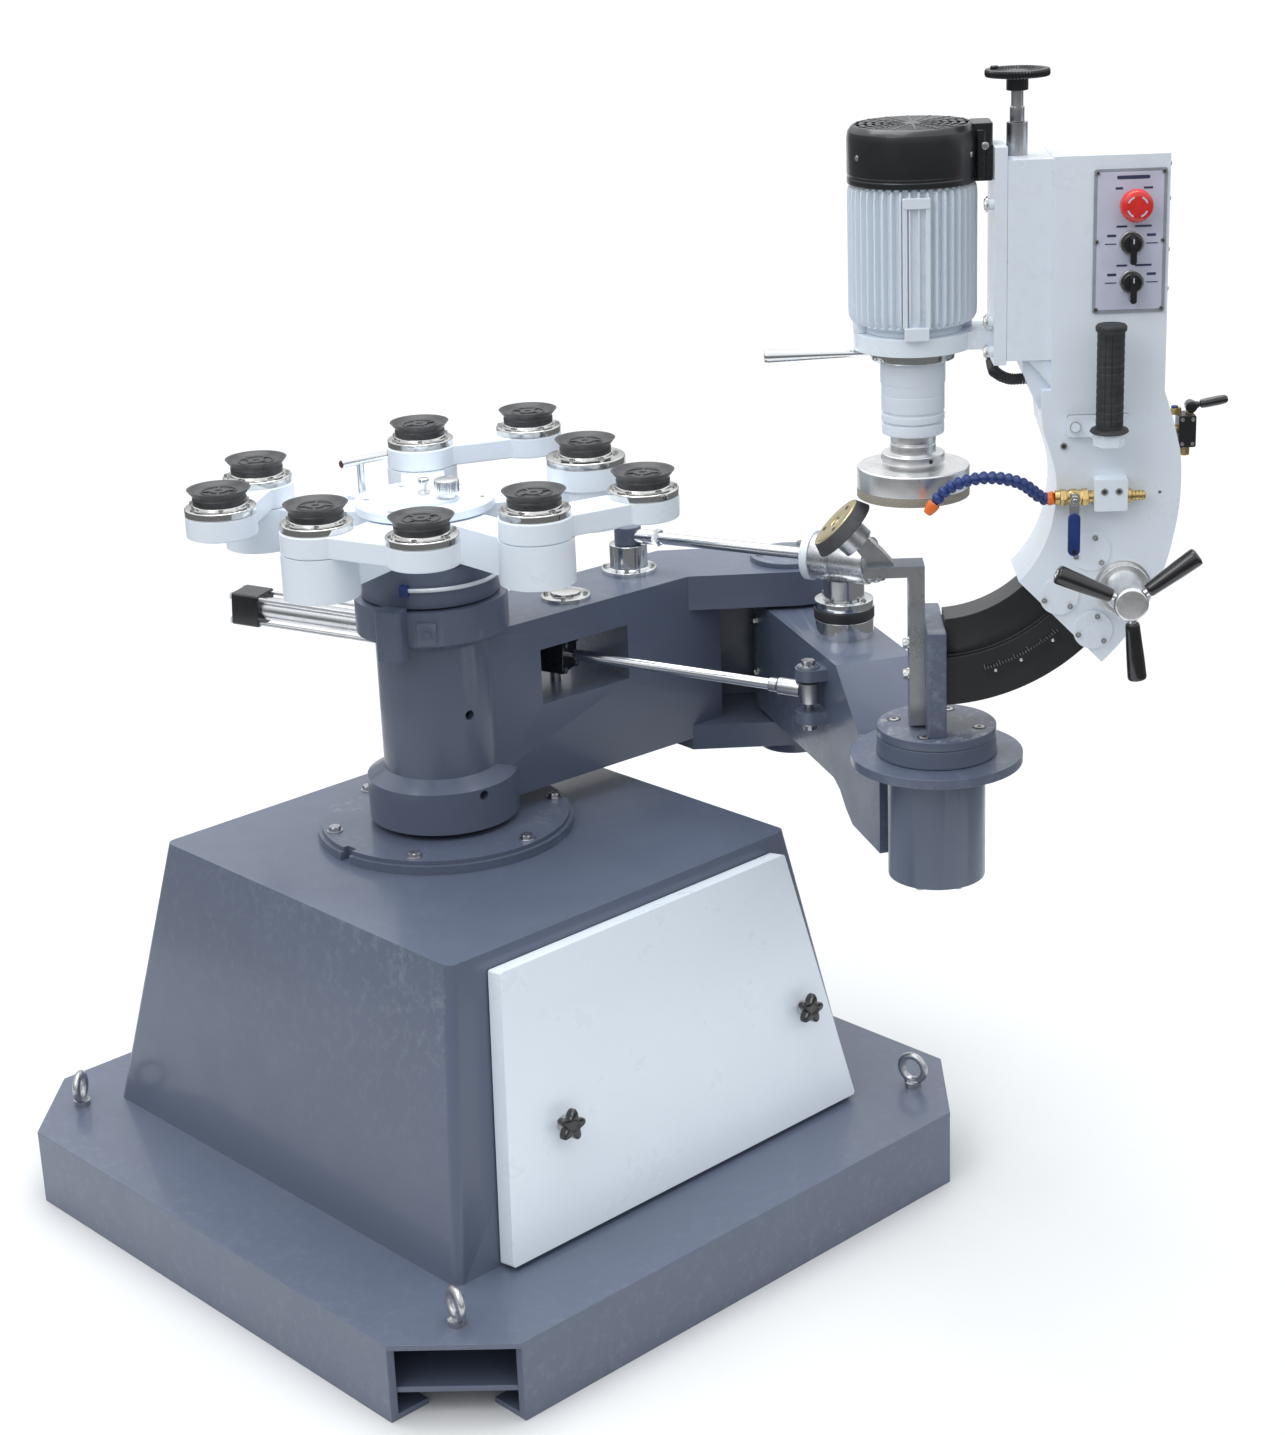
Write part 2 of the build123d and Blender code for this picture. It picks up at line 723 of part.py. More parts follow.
# ---- wrist: turning flange, upright plate and curved rail ---------------
with BuildPart() as wrist_flange:
    add(stack(wrist_at, [
        (disc_top + gap, 723.5, 78.5),
        (723.5, 724.5, 77),
        (724.5, 737, 78.5),
        (546, disc_top + gap, wrist_shaft_radius),
    ]))
    with BuildSketch(wrist_at(737)):
        with PolarLocations(58, 4, start_angle=70):
            Circle(9)
    extrude(amount=-7, mode=Mode.SUBTRACT)
    with BuildSketch(wrist_at(730)):
        with PolarLocations(58, 4, start_angle=70):
            Circle(7)
    extrude(amount=4)
wrist_flange.part.label = "wrist_flange"
export_step(wrist_flange.part, "parts/wrist_flange.step")

plate_inner_h, plate_outer_h = -16.0, 9.0
with BuildPart() as rail_plate:
    with BuildSketch(wrist_at(737)):
        with Locations(((plate_inner_h + plate_outer_h) / 2, 9)):
            Rectangle(plate_outer_h - plate_inner_h, 138)
    extrude(amount=141.5)
    chamfer(rail_plate.edges().filter_by(Axis.Z), length=2)
rail_plate.part.label = "rail_plate"
export_step(rail_plate.part, "parts/rail_plate.step")


def arc_band(inner, outer, start, end):
    # flat ring sector about the tilt centre, angles in degrees
    def at(radius, angle):
        return (radius * cos(radians(angle)), radius * sin(radians(angle)))

    with BuildSketch(mode=Mode.PRIVATE) as band:
        with BuildLine():
            CenterArc((0, 0), inner, start, end - start)
            Line(at(inner, end), at(outer, end))
            CenterArc((0, 0), outer, start, end - start)
            Line(at(outer, start), at(inner, start))
        make_face()
    return band.sketch


with BuildPart() as arc_rail:
    for half, inner, outer in ((27, rail_inner, rail_step), (37, rail_step - 2.5, rail_outer - 2)):
        with BuildSketch(arc_at(-half)):
            add(arc_band(inner, outer, -95, -6))
        extrude(amount=2 * half)
    # relief on the upper tip, which runs into the straight part of the casing
    with BuildSketch(arc_at(-27)):
        add(arc_band(rail_inner - 1, rail_inner + 8, -16, -5))
    extrude(amount=54, mode=Mode.SUBTRACT)
    with BuildSketch(arc_at(-50)):
        with Locations((plate_outer_h - 40, -220)):
            Rectangle(80, 160)
    extrude(amount=100, mode=Mode.SUBTRACT)
    with BuildSketch(arc_at(-50)):
        with Locations((40, -340)):
            Rectangle(100, 2 * (340 - (arc_z - 738.5)))
    extrude(amount=100, mode=Mode.SUBTRACT)
arc_rail.part.label = "arc_rail"
export_step(arc_rail.part, "parts/arc_rail.step")

# bent bar with the tilted guide roller
roller_h, roller_z = -129.0, 1015.0 - arc_z
roller_radius, roller_width = 45.0, 18.0


def roller_at(distance):
    # plane across the roller's axis, distance measured back from its face
    back = Vector(1, 0, -1).normalized()
    head_out = Vector(*plan_direction(head_angle))
    start = arc_at(0).from_local_coords((roller_h, roller_z, 0))
    along = head_out * back.X + Vector(0, 0, back.Z)
    return Plane(origin=start + along * distance, x_dir=arc_at(0).z_dir, z_dir=along)


with BuildPart() as roller_bracket:
    with BuildSketch(arc_at(-20)):
        with BuildLine():
            Polyline(
                (plate_inner_h, -306), (plate_inner_h, -89), (-95, -89), (-95, -104), (-36, -104), (-36, -306),
                close=True,
            )
        make_face()
    extrude(amount=40)
    with BuildSketch(arc_at(-12)):
        with BuildLine():
            Polyline((-86, -89), (-54, -89), (-68, -72), (-104, -36), (-118, -50), close=True)
        make_face()
    extrude(amount=24)
    with BuildSketch(roller_at(roller_width + gap)):
        Circle(22)
    extrude(amount=24)
    with BuildSketch(roller_at(4)):
        Circle(8)
    extrude(amount=30)
    for bolt_y in (-199, -241):
        with BuildSketch(Plane(origin=arc_at(0).from_local_coords((-36, bolt_y, 0)), x_dir=(0, 0, 1),
                               z_dir=plan_direction(head_angle + 180))):
            Circle(6.5)
        extrude(amount=7)
    with BuildSketch(wrist_at(arc_z - 104)):
        with Locations((-72, 0)):
            Circle(6.5)
    extrude(amount=-7)
roller_bracket.part.label = "roller_bracket"
export_step(roller_bracket.part, "parts/roller_bracket.step")

with BuildPart() as guide_roller:
    with BuildSketch(roller_at(0)):
        Circle(roller_radius - 8)
    with BuildSketch(roller_at(roller_width)):
        Circle(roller_radius)
    loft()
    with BuildSketch(roller_at(3.5)):
        Circle(8 + fit)
    extrude(amount=40, mode=Mode.SUBTRACT)
guide_roller.part.label = "guide_roller"
export_step(guide_roller.part, "parts/guide_roller.step")

# ---- head casing --------------------------------------------------------
casing_wall = 8.0
front = casing_half_depth
handwheel_place = (232.0, -115.0)
selector_places = {"arm_selector": (233.0, 322.0), "motor_selector": (234.0, 274.5)}
stop_place = (236.0, 369.0)
valve_nipple_y = 76.0


def casing_outline():
    mouth, shoulder = -46.0, -9.5
    low_in = (casing_inner * cos(radians(mouth)), casing_inner * sin(radians(mouth)))
    low_out = (casing_outer * cos(radians(mouth)), casing_outer * sin(radians(mouth)))
    inner_shoulder = (casing_inner * cos(radians(-8)), casing_inner * sin(radians(-8)))
    shoulder_out = (casing_outer * cos(radians(shoulder)), casing_outer * sin(radians(shoulder)))
    with BuildSketch(mode=Mode.PRIVATE) as outline:
        with BuildLine():
            CenterArc((0, 0), casing_inner, mouth, -8 - mouth)
            ThreePointArc(inner_shoulder, (147.3, 12), (145.5, 39))
            Polyline((145.5, 39), (138.5, 63), (129.5, 90), (127, 112), (127, 141), (139, 142), (139, 428))
            Polyline((139, 428), (279, 428), (279, 137), (291, 99), (300, 62))
            ThreePointArc((300, 62), (302.2, 5), shoulder_out)
            CenterArc((0, 0), casing_outer, mouth, shoulder - mouth)
            Line(low_in, low_out)
        make_face()
    return outline.sketch


with BuildPart() as head_casing:
    with BuildSketch(arc_at(-front)):
        add(casing_outline())
    extrude(amount=2 * front)
    with BuildSketch(arc_at(-front + casing_wall)):
        add(casing_outline())
        offset(amount=-casing_wall, mode=Mode.REPLACE)
    extrude(amount=2 * (front - casing_wall), mode=Mode.SUBTRACT)
    with BuildSketch(arc_at(-front + casing_wall)):
        add(arc_band(casing_inner + casing_wall, casing_outer - casing_wall, -52, -40))
    extrude(amount=2 * (front - casing_wall), mode=Mode.SUBTRACT)
    with BuildSketch(arc_at(front)):
        with Locations(handwheel_place):
            Circle(8 + fit)
        with Locations(stop_place, *selector_places.values()):
            Circle(11)
    extrude(amount=-casing_wall, mode=Mode.SUBTRACT)
    with BuildSketch(Plane(origin=arc_at(0).from_local_coords((260, valve_nipple_y, 0)),
                           x_dir=(0, 0, 1), z_dir=plan_direction(head_angle))):
        Circle(6)
    extrude(amount=60, mode=Mode.SUBTRACT)
head_casing.part.label = "head_casing"
export_step(head_casing.part, "parts/head_casing.step")

# round covers, clamp boss and the sliding shoes that hold the rail
cover_places = [(191, -67), (152, -124), (195.5, -171)]
with BuildPart() as casing_covers:
    for side in (1, -1):
        outer_face = arc_at(side * front)
        with BuildSketch(outer_face):
            with Locations(*cover_places):
                Circle(25)
        extrude(amount=side * 3)
        with BuildSketch(outer_face.offset(side * 3)):
            for place in cover_places:
                with Locations(place):
                    with PolarLocations(19.5, 3, start_angle=75):
                        Circle(3)
        extrude(amount=side * 2)
    with BuildSketch(arc_at(front)):
        with Locations(handwheel_place):
            Circle(30)
            Circle(8 + fit, mode=Mode.SUBTRACT)
    extrude(amount=12)
    with BuildSketch(arc_at(-20)):
        for start in (-44, -17):
            add(arc_band(casing_inner + casing_wall, rail_inner - gap, start, start + 9))
            add(arc_band(rail_outer - 2 + gap, casing_outer - casing_wall, start, start + 9))
    extrude(amount=40)
casing_covers.part.label = "casing_covers"
export_step(casing_covers.part, "parts/casing_covers.step")

# ---- control panel and its operators ------------------------------------
panel_thickness = 3.0
panel_face = front + panel_thickness
with BuildPart() as control_panel:
    with BuildSketch(arc_at(front)):
        with Locations((231, 324)):
            RectangleRounded(88, 175, 3)
    extrude(amount=panel_thickness)
    with BuildSketch(arc_at(panel_face)):
        with Locations((231, 324)):
            with GridLocations(80, 83, 2, 3):
                Circle(3)
    extrude(amount=1.5)
    with BuildSketch(arc_at(panel_face)):
        with Locations(*selector_places.values()):
            Circle(15)
        with Locations(stop_place):
            Circle(13)
    extrude(amount=6)
    with BuildSketch(arc_at(front - 30)):
        with Locations(stop_place, *selector_places.values()):
            Circle(11)
    extrude(amount=30)
    with BuildSketch(arc_at(front - 20)):
        with Locations(stop_place, *selector_places.values()):
            Circle(5 + fit)
    extrude(amount=40, mode=Mode.SUBTRACT)
control_panel.part.label = "control_panel"
export_step(control_panel.part, "parts/control_panel.step")

stop_travel = 4.0
with BuildPart() as estop_button:
    with BuildSketch(arc_at(front - 14)):
        with Locations(stop_place):
            Circle(5)
    extrude(amount=24 + stop_travel + 2)
    with BuildSketch(arc_at(panel_face + 6 + stop_travel + gap)):
        with Locations(stop_place):
            Circle(20)
    extrude(amount=16)
    fillet(estop_button.faces().sort_by(Axis(arc_at(0).origin, arc_at(0).z_dir)).last.edges(), radius=5)
estop_button.part.label = "estop_button"
export_step(estop_button.part, "parts/estop_button.step")

for selector_name, (selector_x, selector_y) in selector_places.items():
    with BuildPart() as selector:
        with BuildSketch(arc_at(front - 14)):
            with Locations((selector_x, selector_y)):
                Circle(5)
        extrude(amount=26)
        with BuildSketch(arc_at(panel_face + 6 + gap)):
            with Locations((selector_x, selector_y)):
                Circle(12)
        extrude(amount=5)
        with BuildSketch(arc_at(panel_face + 6 + gap)):
            with Locations((selector_x, selector_y - 7)):
                RectangleRounded(8, 33, 3)
        extrude(amount=16)
    selector.part.label = selector_name
    export_step(selector.part, f"parts/{selector_name}.step")

# ---- grip ---------------------------------------------------------------
grip_h, grip_out = 205.0, 95.0
with BuildPart() as grip_bracket:
    with BuildSketch(arc_at(front)):
        with Locations((197, 97)):
            RectangleRounded(78, 28, 4)
    extrude(amount=8)
    with BuildSketch(wrist_at(1128)):
        with Locations((grip_h, -(front + grip_out) / 2)):
            Rectangle(34, grip_out - front)
        with Locations((grip_h, -grip_out)):
            RegularPolygon(20, 6)
    extrude(amount=16)
    with BuildSketch(arc_at(front + 8)):
        with Locations((168, 97)):
            Circle(6)
    extrude(amount=6)
    with BuildSketch(wrist_at(1144)):
        with Locations((grip_h, -grip_out)):
            Circle(6)
    extrude(amount=125)
grip_bracket.part.label = "grip_bracket"
export_step(grip_bracket.part, "parts/grip_bracket.step")

with BuildPart() as assist_grip:
    for low, high, radius in ((1144, 1149, 24), (1149, 1270, 16.5), (1270, 1278, 19)):
        with BuildSketch(wrist_at(low)):
            with Locations((grip_h, -grip_out)):
                Circle(radius)
        extrude(amount=high - low)
    with BuildSketch(wrist_at(1144)):
        with Locations((grip_h, -grip_out)):
            Circle(6)
    extrude(amount=125, mode=Mode.SUBTRACT)
assist_grip.part.label = "assist_grip"
export_step(assist_grip.part, "parts/assist_grip.step")

# ---- water supply -------------------------------------------------------
water_y, water_out = 8.0, 63.0
barb_radius = 7.0


def across(h, y=water_y, out=water_out):
    # plane whose normal is the head direction
    origin = arc_at(out).from_local_coords((h, y, 0))
    return Plane(origin=origin, x_dir=(0, 0, 1), z_dir=plan_direction(head_angle))


with BuildPart() as water_manifold:
    with BuildSketch(arc_at(front)):
        with Locations((212.5, 11)):
            RectangleRounded(42, 42, 3)
    extrude(amount=22)
    for low, high, radius in ((233, 238, 9), (238, 256, barb_radius), (184, 192, 9), (150, 184, 11), (143, 150, 9)):
        with BuildSketch(across(low)):
            Circle(radius)
        extrude(amount=high - low)
    with BuildSketch(arc_at(water_out)):
        with Locations((166, water_y)):
            Circle(9)
    extrude(amount=14)
    with BuildSketch(across(143)):
        Circle(5)
    extrude(amount=113, mode=Mode.SUBTRACT)
    with BuildSketch(arc_at(water_out)):
        with Locations((166, water_y)):
            Circle(3.5 + fit)
    extrude(amount=14, mode=Mode.SUBTRACT)
    with BuildSketch(arc_at(front + 22)):
        with Locations((204, 16), (222, 16)):
            Circle(4)
    extrude(amount=2)
water_manifold.part.label = "water_manifold"
export_step(water_manifold.part, "parts/water_manifold.step")

with BuildPart() as water_valve_lever:
    with BuildSketch(arc_at(water_out + 1)):
        with Locations((166, water_y)):
            Circle(3.5)
    extrude(amount=17)
    with BuildSketch(arc_at(water_out + 14 + gap)):
        with Locations((166, water_y - 30)):
            SlotOverall(84, 14, rotation=90)
    extrude(amount=3)
    with BuildSketch(arc_at(water_out + 14 + gap)):
        with Locations((166, water_y - 43)):
            SlotOverall(58, 17, rotation=90)
    extrude(amount=5)
    with BuildSketch(arc_at(water_out + 14 + gap)):
        with Locations((166, water_y)):
            RegularPolygon(6.5, 6)
    extrude(amount=7)
water_valve_lever.part.label = "water_valve_lever"
export_step(water_valve_lever.part, "parts/water_valve_lever.step")

# jointed hose from the valve to the wheel
hose_radius = 8.0
hose_points = [
    (143, water_y, water_out), (128, water_y, water_out), (96, 34, 82), (51, 44, 93), (8, 33, 97), (-18, 3, 97),
]
with BuildPart() as coolant_hose:
    with BuildLine() as hose_line:
        FilletPolyline(*[arc_at(0).from_local_coords(point) for point in hose_points], radius=[16, 40, 40, 40])
    with BuildSketch(Plane(origin=hose_line.line @ 0, z_dir=hose_line.line % 0)):
        Circle(hose_radius)
        Circle(3.5, mode=Mode.SUBTRACT)
    sweep()
coolant_hose.part.label = "coolant_hose"
export_step(coolant_hose.part, "parts/coolant_hose.step")

# ---- hand valve on the outer edge of the casing -------------------------
with BuildPart() as rear_valve:
    with BuildSketch(across(280, valve_nipple_y, 0)):
        Circle(6)
    extrude(amount=25)
    with BuildSketch(arc_at(-15)):
        with Locations((314.5, 75.5)):
            RectangleRounded(22, 41, 3)
    extrude(amount=30)
    with BuildSketch(wrist_at(arc_z + 42)):
        with Locations((314, 0)):
            Circle(6)
    extrude(amount=14)
    with BuildSketch(wrist_at(arc_z + 95)):
        with Locations((300, 0)):
            Circle(5)
        with Locations((304, 0)):
            Rectangle(8, 10)
    extrude(amount=9)
    with BuildSketch(wrist_at(arc_z + 95)):
        with Locations((319, 0)):
            Circle(5)
    extrude(amount=2.2)
rear_valve.part.label = "rear_valve"
export_step(rear_valve.part, "parts/rear_valve.step")

lever_direction = Vector(*plan_direction(head_angle)) * cos(radians(10)) + Vector(0, 0, sin(radians(10)))
lever_centre = arc_at(0).from_local_coords((320, 105, 0))
with BuildPart() as rear_valve_lever:
    with BuildSketch(arc_at(-8)):
        with Locations((320, 105)):
            Circle(7.5)
    extrude(amount=16)
    with BuildSketch(Plane(origin=lever_centre, z_dir=lever_direction)):
        Circle(3.5)
    extrude(amount=14)
    with BuildSketch(Plane(origin=lever_centre + lever_direction * 12, z_dir=lever_direction)):
        Circle(6)
    extrude(amount=35)
rear_valve_lever.part.label = "rear_valve_lever"
export_step(rear_valve_lever.part, "parts/rear_valve_lever.step")

# ---- three-armed clamp wheel --------------------------------------------
grip_turn = -84.0
grip_reach = 102.0
clamp_out = 122.0           # plane of the three arms, out from the middle of the head
with BuildPart() as tilt_handwheel:
    with BuildSketch(arc_at(front - casing_wall)):
        with Locations(handwheel_place):
            Circle(8)
    extrude(amount=40)
    with BuildSketch(arc_at(front + 12 + gap)):
        with Locations(handwheel_place):
            Circle(26)
    with BuildSketch(arc_at(132)):
        with Locations(handwheel_place):
            Circle(19)
    loft()
    for turn in range(3):
        angle = grip_turn + 120 * turn
        out = Vector(cos(radians(angle)), sin(radians(angle)), 0)
        centre = Vector(handwheel_place[0], handwheel_place[1], 0)
        start = arc_at(clamp_out).from_local_coords((centre + out * 12))
        grip_start = arc_at(clamp_out).from_local_coords((centre + out * 28))
        way = (grip_start - start).normalized()
        with BuildSketch(Plane(origin=start, z_dir=way)):
            Circle(5)
        extrude(amount=grip_reach - 16)
        with BuildSketch(Plane(origin=grip_start, z_dir=way)):
            Circle(9)
        with BuildSketch(Plane(origin=grip_start + way * (grip_reach - 28), z_dir=way)):
            Circle(12)
        loft()
tilt_handwheel.part.label = "tilt_handwheel"
export_step(tilt_handwheel.part, "parts/tilt_handwheel.step")

# ---- upright slide, lead screw and carriage -----------------------------
slide_low, slide_high = 1226.0, 1472.0
screw_h, screw_radius = 99.0, 7.0
conduit_radius = 6.5
conduit_points = [
    (114, 147, 0), (92, 146, 0), (74, 152, -20), (74, 160, -60), (80, 192, -60), (100, 205, -58), (100, 205, -42),
]
with BuildPart() as slide_base:
    with BuildSketch(wrist_at(slide_low)):
        with Locations(((84 + 139) / 2, 0)):
            Rectangle(139 - 84, 90)
    extrude(amount=slide_high - slide_low)
    with BuildSketch(wrist_at(slide_low + 14)):
        with Locations(((84 + 112) / 2, 0)):
            Rectangle(112 - 84, 28)
    extrude(amount=slide_high - slide_low - 26, mode=Mode.SUBTRACT)
    # stepped gusset under the slide
    with BuildSketch(arc_at(-40)):
        with BuildLine():
            Polyline((105, 179), (105, 162), (115, 138), (126, 114), (139, 114), (139, 179), close=True)
        make_face()
    extrude(amount=72)
    with BuildSketch(arc_at(-40)):
        with BuildLine():
            Polyline((111, 179), (141, 143), (141, 179), close=True)
        make_face()
    extrude(amount=82)
    # ribbed cable conduit from the gusset, under the carriage and up to the back of the slide
    with BuildLine() as conduit_line:
        FilletPolyline(
            *[arc_at(0).from_local_coords(point) for point in conduit_points],
            radius=[10, 10, 12, 9, 7],
        )
    with BuildSketch(Plane(origin=conduit_line.line @ 0, z_dir=conduit_line.line % 0)):
        Circle(conduit_radius)
    sweep()
    with BuildSketch(arc_at(-front - 1)):
        add(casing_outline())
    extrude(amount=2 * front + 2, mode=Mode.SUBTRACT)
    with BuildSketch(wrist_at(slide_high)):
        with Locations((screw_h, 0)):
            Circle(13)
    extrude(amount=40)
    with BuildSketch(wrist_at(slide_high - 14)):
        with Locations((screw_h, 0)):
            Circle(screw_radius + fit)
    extrude(amount=54, mode=Mode.SUBTRACT)
slide_base.part.label = "slide_base"
export_step(slide_base.part, "parts/slide_base.step")

with BuildPart() as lead_screw:
    for low, high, radius in (
        (1244, 1512 + gap, screw_radius), (1512 + gap, 1550, 9), (1550, 1566, 13.5), (1566, 1576, 39),
    ):
        with BuildSketch(wrist_at(low)):
            with Locations((screw_h, 0)):
                Circle(radius)
        extrude(amount=high - low)
    with BuildSketch(wrist_at(1576)):
        with Locations((screw_h - 28, 0)):
            Circle(5)
    extrude(amount=4)
lead_screw.part.label = "lead_screw"
export_step(lead_screw.part, "parts/lead_screw.step")

bracket_low, bracket_high = 1240.0, 1262.0
nose_radius = 41.0
with BuildPart() as slide_carriage:
    with BuildSketch(wrist_at(1221)):
        with Locations(((68 + 83.7) / 2, 0)):
            Rectangle(83.7 - 68, 90)
    extrude(amount=1488 - 1221)
    with BuildSketch(wrist_at(1330)):
        with Locations(((83.7 + 111.6) / 2, 0)):
            Rectangle(111.6 - 83.7, 27.4)
    extrude(amount=40)
    with BuildSketch(wrist_at(bracket_low)):
        with Locations((motor_h, 0)):
            Circle(74)
        with Locations((45, 0)):
            Rectangle(50, 70)
    extrude(amount=bracket_high - bracket_low)
    with BuildSketch(arc_at(-8)):
        with BuildLine():
            Polyline((50, 193), (70, 193), (70, 175), close=True)
        make_face()
    extrude(amount=16)
    with BuildSketch(wrist_at(1320)):
        with Locations((screw_h, 0)):
            Circle(screw_radius + fit)
    extrude(amount=60, mode=Mode.SUBTRACT)
    with BuildSketch(motor_at(bracket_low)):
        Circle(30)
    extrude(amount=bracket_high - bracket_low, mode=Mode.SUBTRACT)
    for bolt_y in (372, 228, 190):
        bolt_face = Plane(origin=arc_at(36).from_local_coords((68, bolt_y, 0)), x_dir=(0, 0, 1),
                          z_dir=plan_direction(head_angle + 180))
        with BuildSketch(bolt_face):
            Circle(7)
        extrude(amount=8)
slide_carriage.part.label = "slide_carriage"
export_step(slide_carriage.part, "parts/slide_carriage.step")

# ---- motor and spindle --------------------------------------------------
with BuildPart() as motor_body:
    with BuildSketch(motor_at(bracket_high)):
        Circle(62)
    extrude(amount=14)
    with BuildSketch(motor_at(bracket_high + 14)):
        Circle(72)
    extrude(amount=1445 - bracket_high - 14)
    for turn in range(30):
        with BuildSketch(motor_at(bracket_high + 14)):
            with Locations(Rotation(0, 0, 12 * turn) * Location((75, 0, 0))):
                Rectangle(10, 3)
        extrude(amount=1440 - bracket_high - 14)
    with BuildSketch(motor_at(bracket_high)):
        with Locations((0, -70)):
            Rectangle(34, 20)
    extrude(amount=1440 - bracket_high)
    with BuildSketch(motor_at(bracket_high - 30)):
        Circle(15 + fit)
    extrude(amount=150, mode=Mode.SUBTRACT)
motor_body.part.label = "motor_body"
export_step(motor_body.part, "parts/motor_body.step")

with BuildPart() as fan_cover:
    with BuildSketch(motor_at(1445)):
        Circle(80)
        with Locations((81.8, 0)):
            Rectangle(30, 50)
    extrude(amount=70)
    fillet(fan_cover.faces().sort_by(Axis.Z).last.edges(), radius=7)
    with BuildSketch(motor_at(1445)):
        Circle(72)
    extrude(amount=62, mode=Mode.SUBTRACT)
fan_cover.part.label = "fan_cover"
export_step(fan_cover.part, "parts/fan_cover.step")

with BuildPart() as spindle_nose:
    add(stack(motor_at, [
        (1195, bracket_low, nose_radius),
        (1160, 1195, 40),
        (1156, 1160, 38),
        (1147, 1156, 40),
        (1144, 1147, 37),
        (1130, 1144, 39.5),
    ], bore=15 + fit))
spindle_nose.part.label = "spindle_nose"
export_step(spindle_nose.part, "parts/spindle_nose.step")

with BuildPart() as spindle_lock_lever:
    add(stack(motor_at, [(1226, 1239.5, 53)], bore=nose_radius + fit))
    with BuildSketch(Plane(origin=motor_at(1233).from_local_coords((-46, 0, 0)), x_dir=(0, 0, 1),
                           z_dir=plan_direction(head_angle + 180))):
        Circle(5.5)
    extrude(amount=216 + motor_h - 46)
spindle_lock_lever.part.label = "spindle_lock_lever"
export_step(spindle_lock_lever.part, "parts/spindle_lock_lever.step")

with BuildPart() as cup_wheel:
    add(stack(motor_at, [
        (1049, 1088, 71.6),
        (1088, 1092, 30),
        (1092, 1105, 40),
        (1105, 1130 - gap, 29),
        (1130 - gap, 1300, 15),
    ]))
    with BuildSketch(motor_at(1049)):
        Circle(54)
    extrude(amount=24, mode=Mode.SUBTRACT)
cup_wheel.part.label = "cup_wheel"
export_step(cup_wheel.part, "parts/cup_wheel.step")

# ---- turning table with suction cups ------------------------------------
post_low, post_high = 932.0, 992.0
boss_radius = 51.0
flange_low, flange_high = 1022.0, 1032.0
cup_top = 1056.7
pin_radius = 14.0
tee_place = (-14.0, 194.0 - column_y)
knob_place_top = (9.0, 33.0 - column_y)
link_directions = {1: -24.0, 2: -143.0, 3: -73.0, 4: -13.0}


def post_place(number):
    angle = radians(cup_phase + 72 * number)
    return (cup_circle * cos(angle), cup_circle * sin(angle))


with BuildPart() as table_spider:
    with BuildSketch(column_at(post_low)):
        Circle(62)
    extrude(amount=post_high - post_low)
    for number in range(5):
        with BuildSketch(column_at(post_low)):
            with Locations(post_place(number)):
                Circle(boss_radius)
        extrude(amount=post_high - post_low)
        with BuildSketch(column_at(post_low + 6)):
            with Locations(Rotation(0, 0, cup_phase + 72 * number) * Location((cup_circle / 2 + 20, 0, 0))):
                Rectangle(cup_circle - 40, 62)
        extrude(amount=post_high - post_low - 8)
        if number:
            with BuildSketch(column_at(post_high)):
                with Locations(post_place(number)):
                    Circle(pin_radius)
            extrude(amount=26)
    with BuildSketch(column_at(post_high)):
        with Locations(post_place(0)):
            Circle(56)
    extrude(amount=30)
    with BuildSketch(column_at(post_high - 30)):
        with Locations(Rotation(0, 0, 96.5) * Location((105, 0, 0))):
            Rectangle(60, 36)
    extrude(amount=30)
    with BuildSketch(column_at(post_high - 24)):
        with Locations(tee_place):
            Circle(5 + fit)
    extrude(amount=40, mode=Mode.SUBTRACT)
    with BuildSketch(column_at(post_low)):
        Circle(shaft_radius)
    extrude(amount=post_high - post_low, mode=Mode.SUBTRACT)
table_spider.part.label = "table_spider"
export_step(table_spider.part, "parts/table_spider.step")

with BuildPart() as hub_disc:
    add(stack(column_at, [(post_high, 1004, 97), (1004, 1009, 52), (400, post_high, shaft_radius)]))
    with BuildSketch(column_at(1004)):
        with PolarLocations(80, 6, start_angle=15):
            Circle(5)
    extrude(amount=-6, mode=Mode.SUBTRACT)
    with BuildSketch(column_at(996)):
        with Locations(knob_place_top):
            Circle(5 + fit)
    extrude(amount=20, mode=Mode.SUBTRACT)
hub_disc.part.label = "hub_disc"
export_step(hub_disc.part, "parts/hub_disc.step")

with BuildPart() as hub_knob:
    for low, high, radius in ((998, 1009 + gap, 5), (1009 + gap, 1016, 11), (1016, 1036, 17)):
        with BuildSketch(column_at(low)):
            with Locations(knob_place_top):
                Circle(radius)
        extrude(amount=high - low)
hub_knob.part.label = "hub_knob"
export_step(hub_knob.part, "parts/hub_knob.step")

with BuildPart() as tee_handle:
    with BuildSketch(column_at(post_high - 22)):
        with Locations(tee_place):
            Circle(5)
    extrude(amount=22 + 48)
    with BuildSketch(Plane(origin=(-46 + 1, 202 - 4, 1040), z_dir=(77, -6, 0))):
        Circle(6)
    extrude(amount=77)
tee_handle.part.label = "tee_handle"
export_step(tee_handle.part, "parts/tee_handle.step")


def cup_at(places):
    # chrome flange with a lipped rubber cup on it, at each plan place about the column
    with BuildPart() as cups:
        for place in places:
            with BuildSketch(column_at(flange_low)):
                with Locations(place):
                    Circle(48)
            extrude(amount=flange_high - flange_low)
            with BuildSketch(column_at(flange_high)):
                with Locations(place):
                    Circle(37)
            extrude(amount=12)
            with BuildSketch(column_at(flange_high + 12)):
                with Locations(place):
                    Circle(35)
            with BuildSketch(column_at(cup_top)):
                with Locations(place):
                    Circle(43)
            loft()
            with BuildSketch(column_at(cup_top - 6)):
                with Locations(place):
                    Circle(33)
            with BuildSketch(column_at(cup_top)):
                with Locations(place):
                    Circle(40.5)
            loft(mode=Mode.SUBTRACT)
    return cups.part


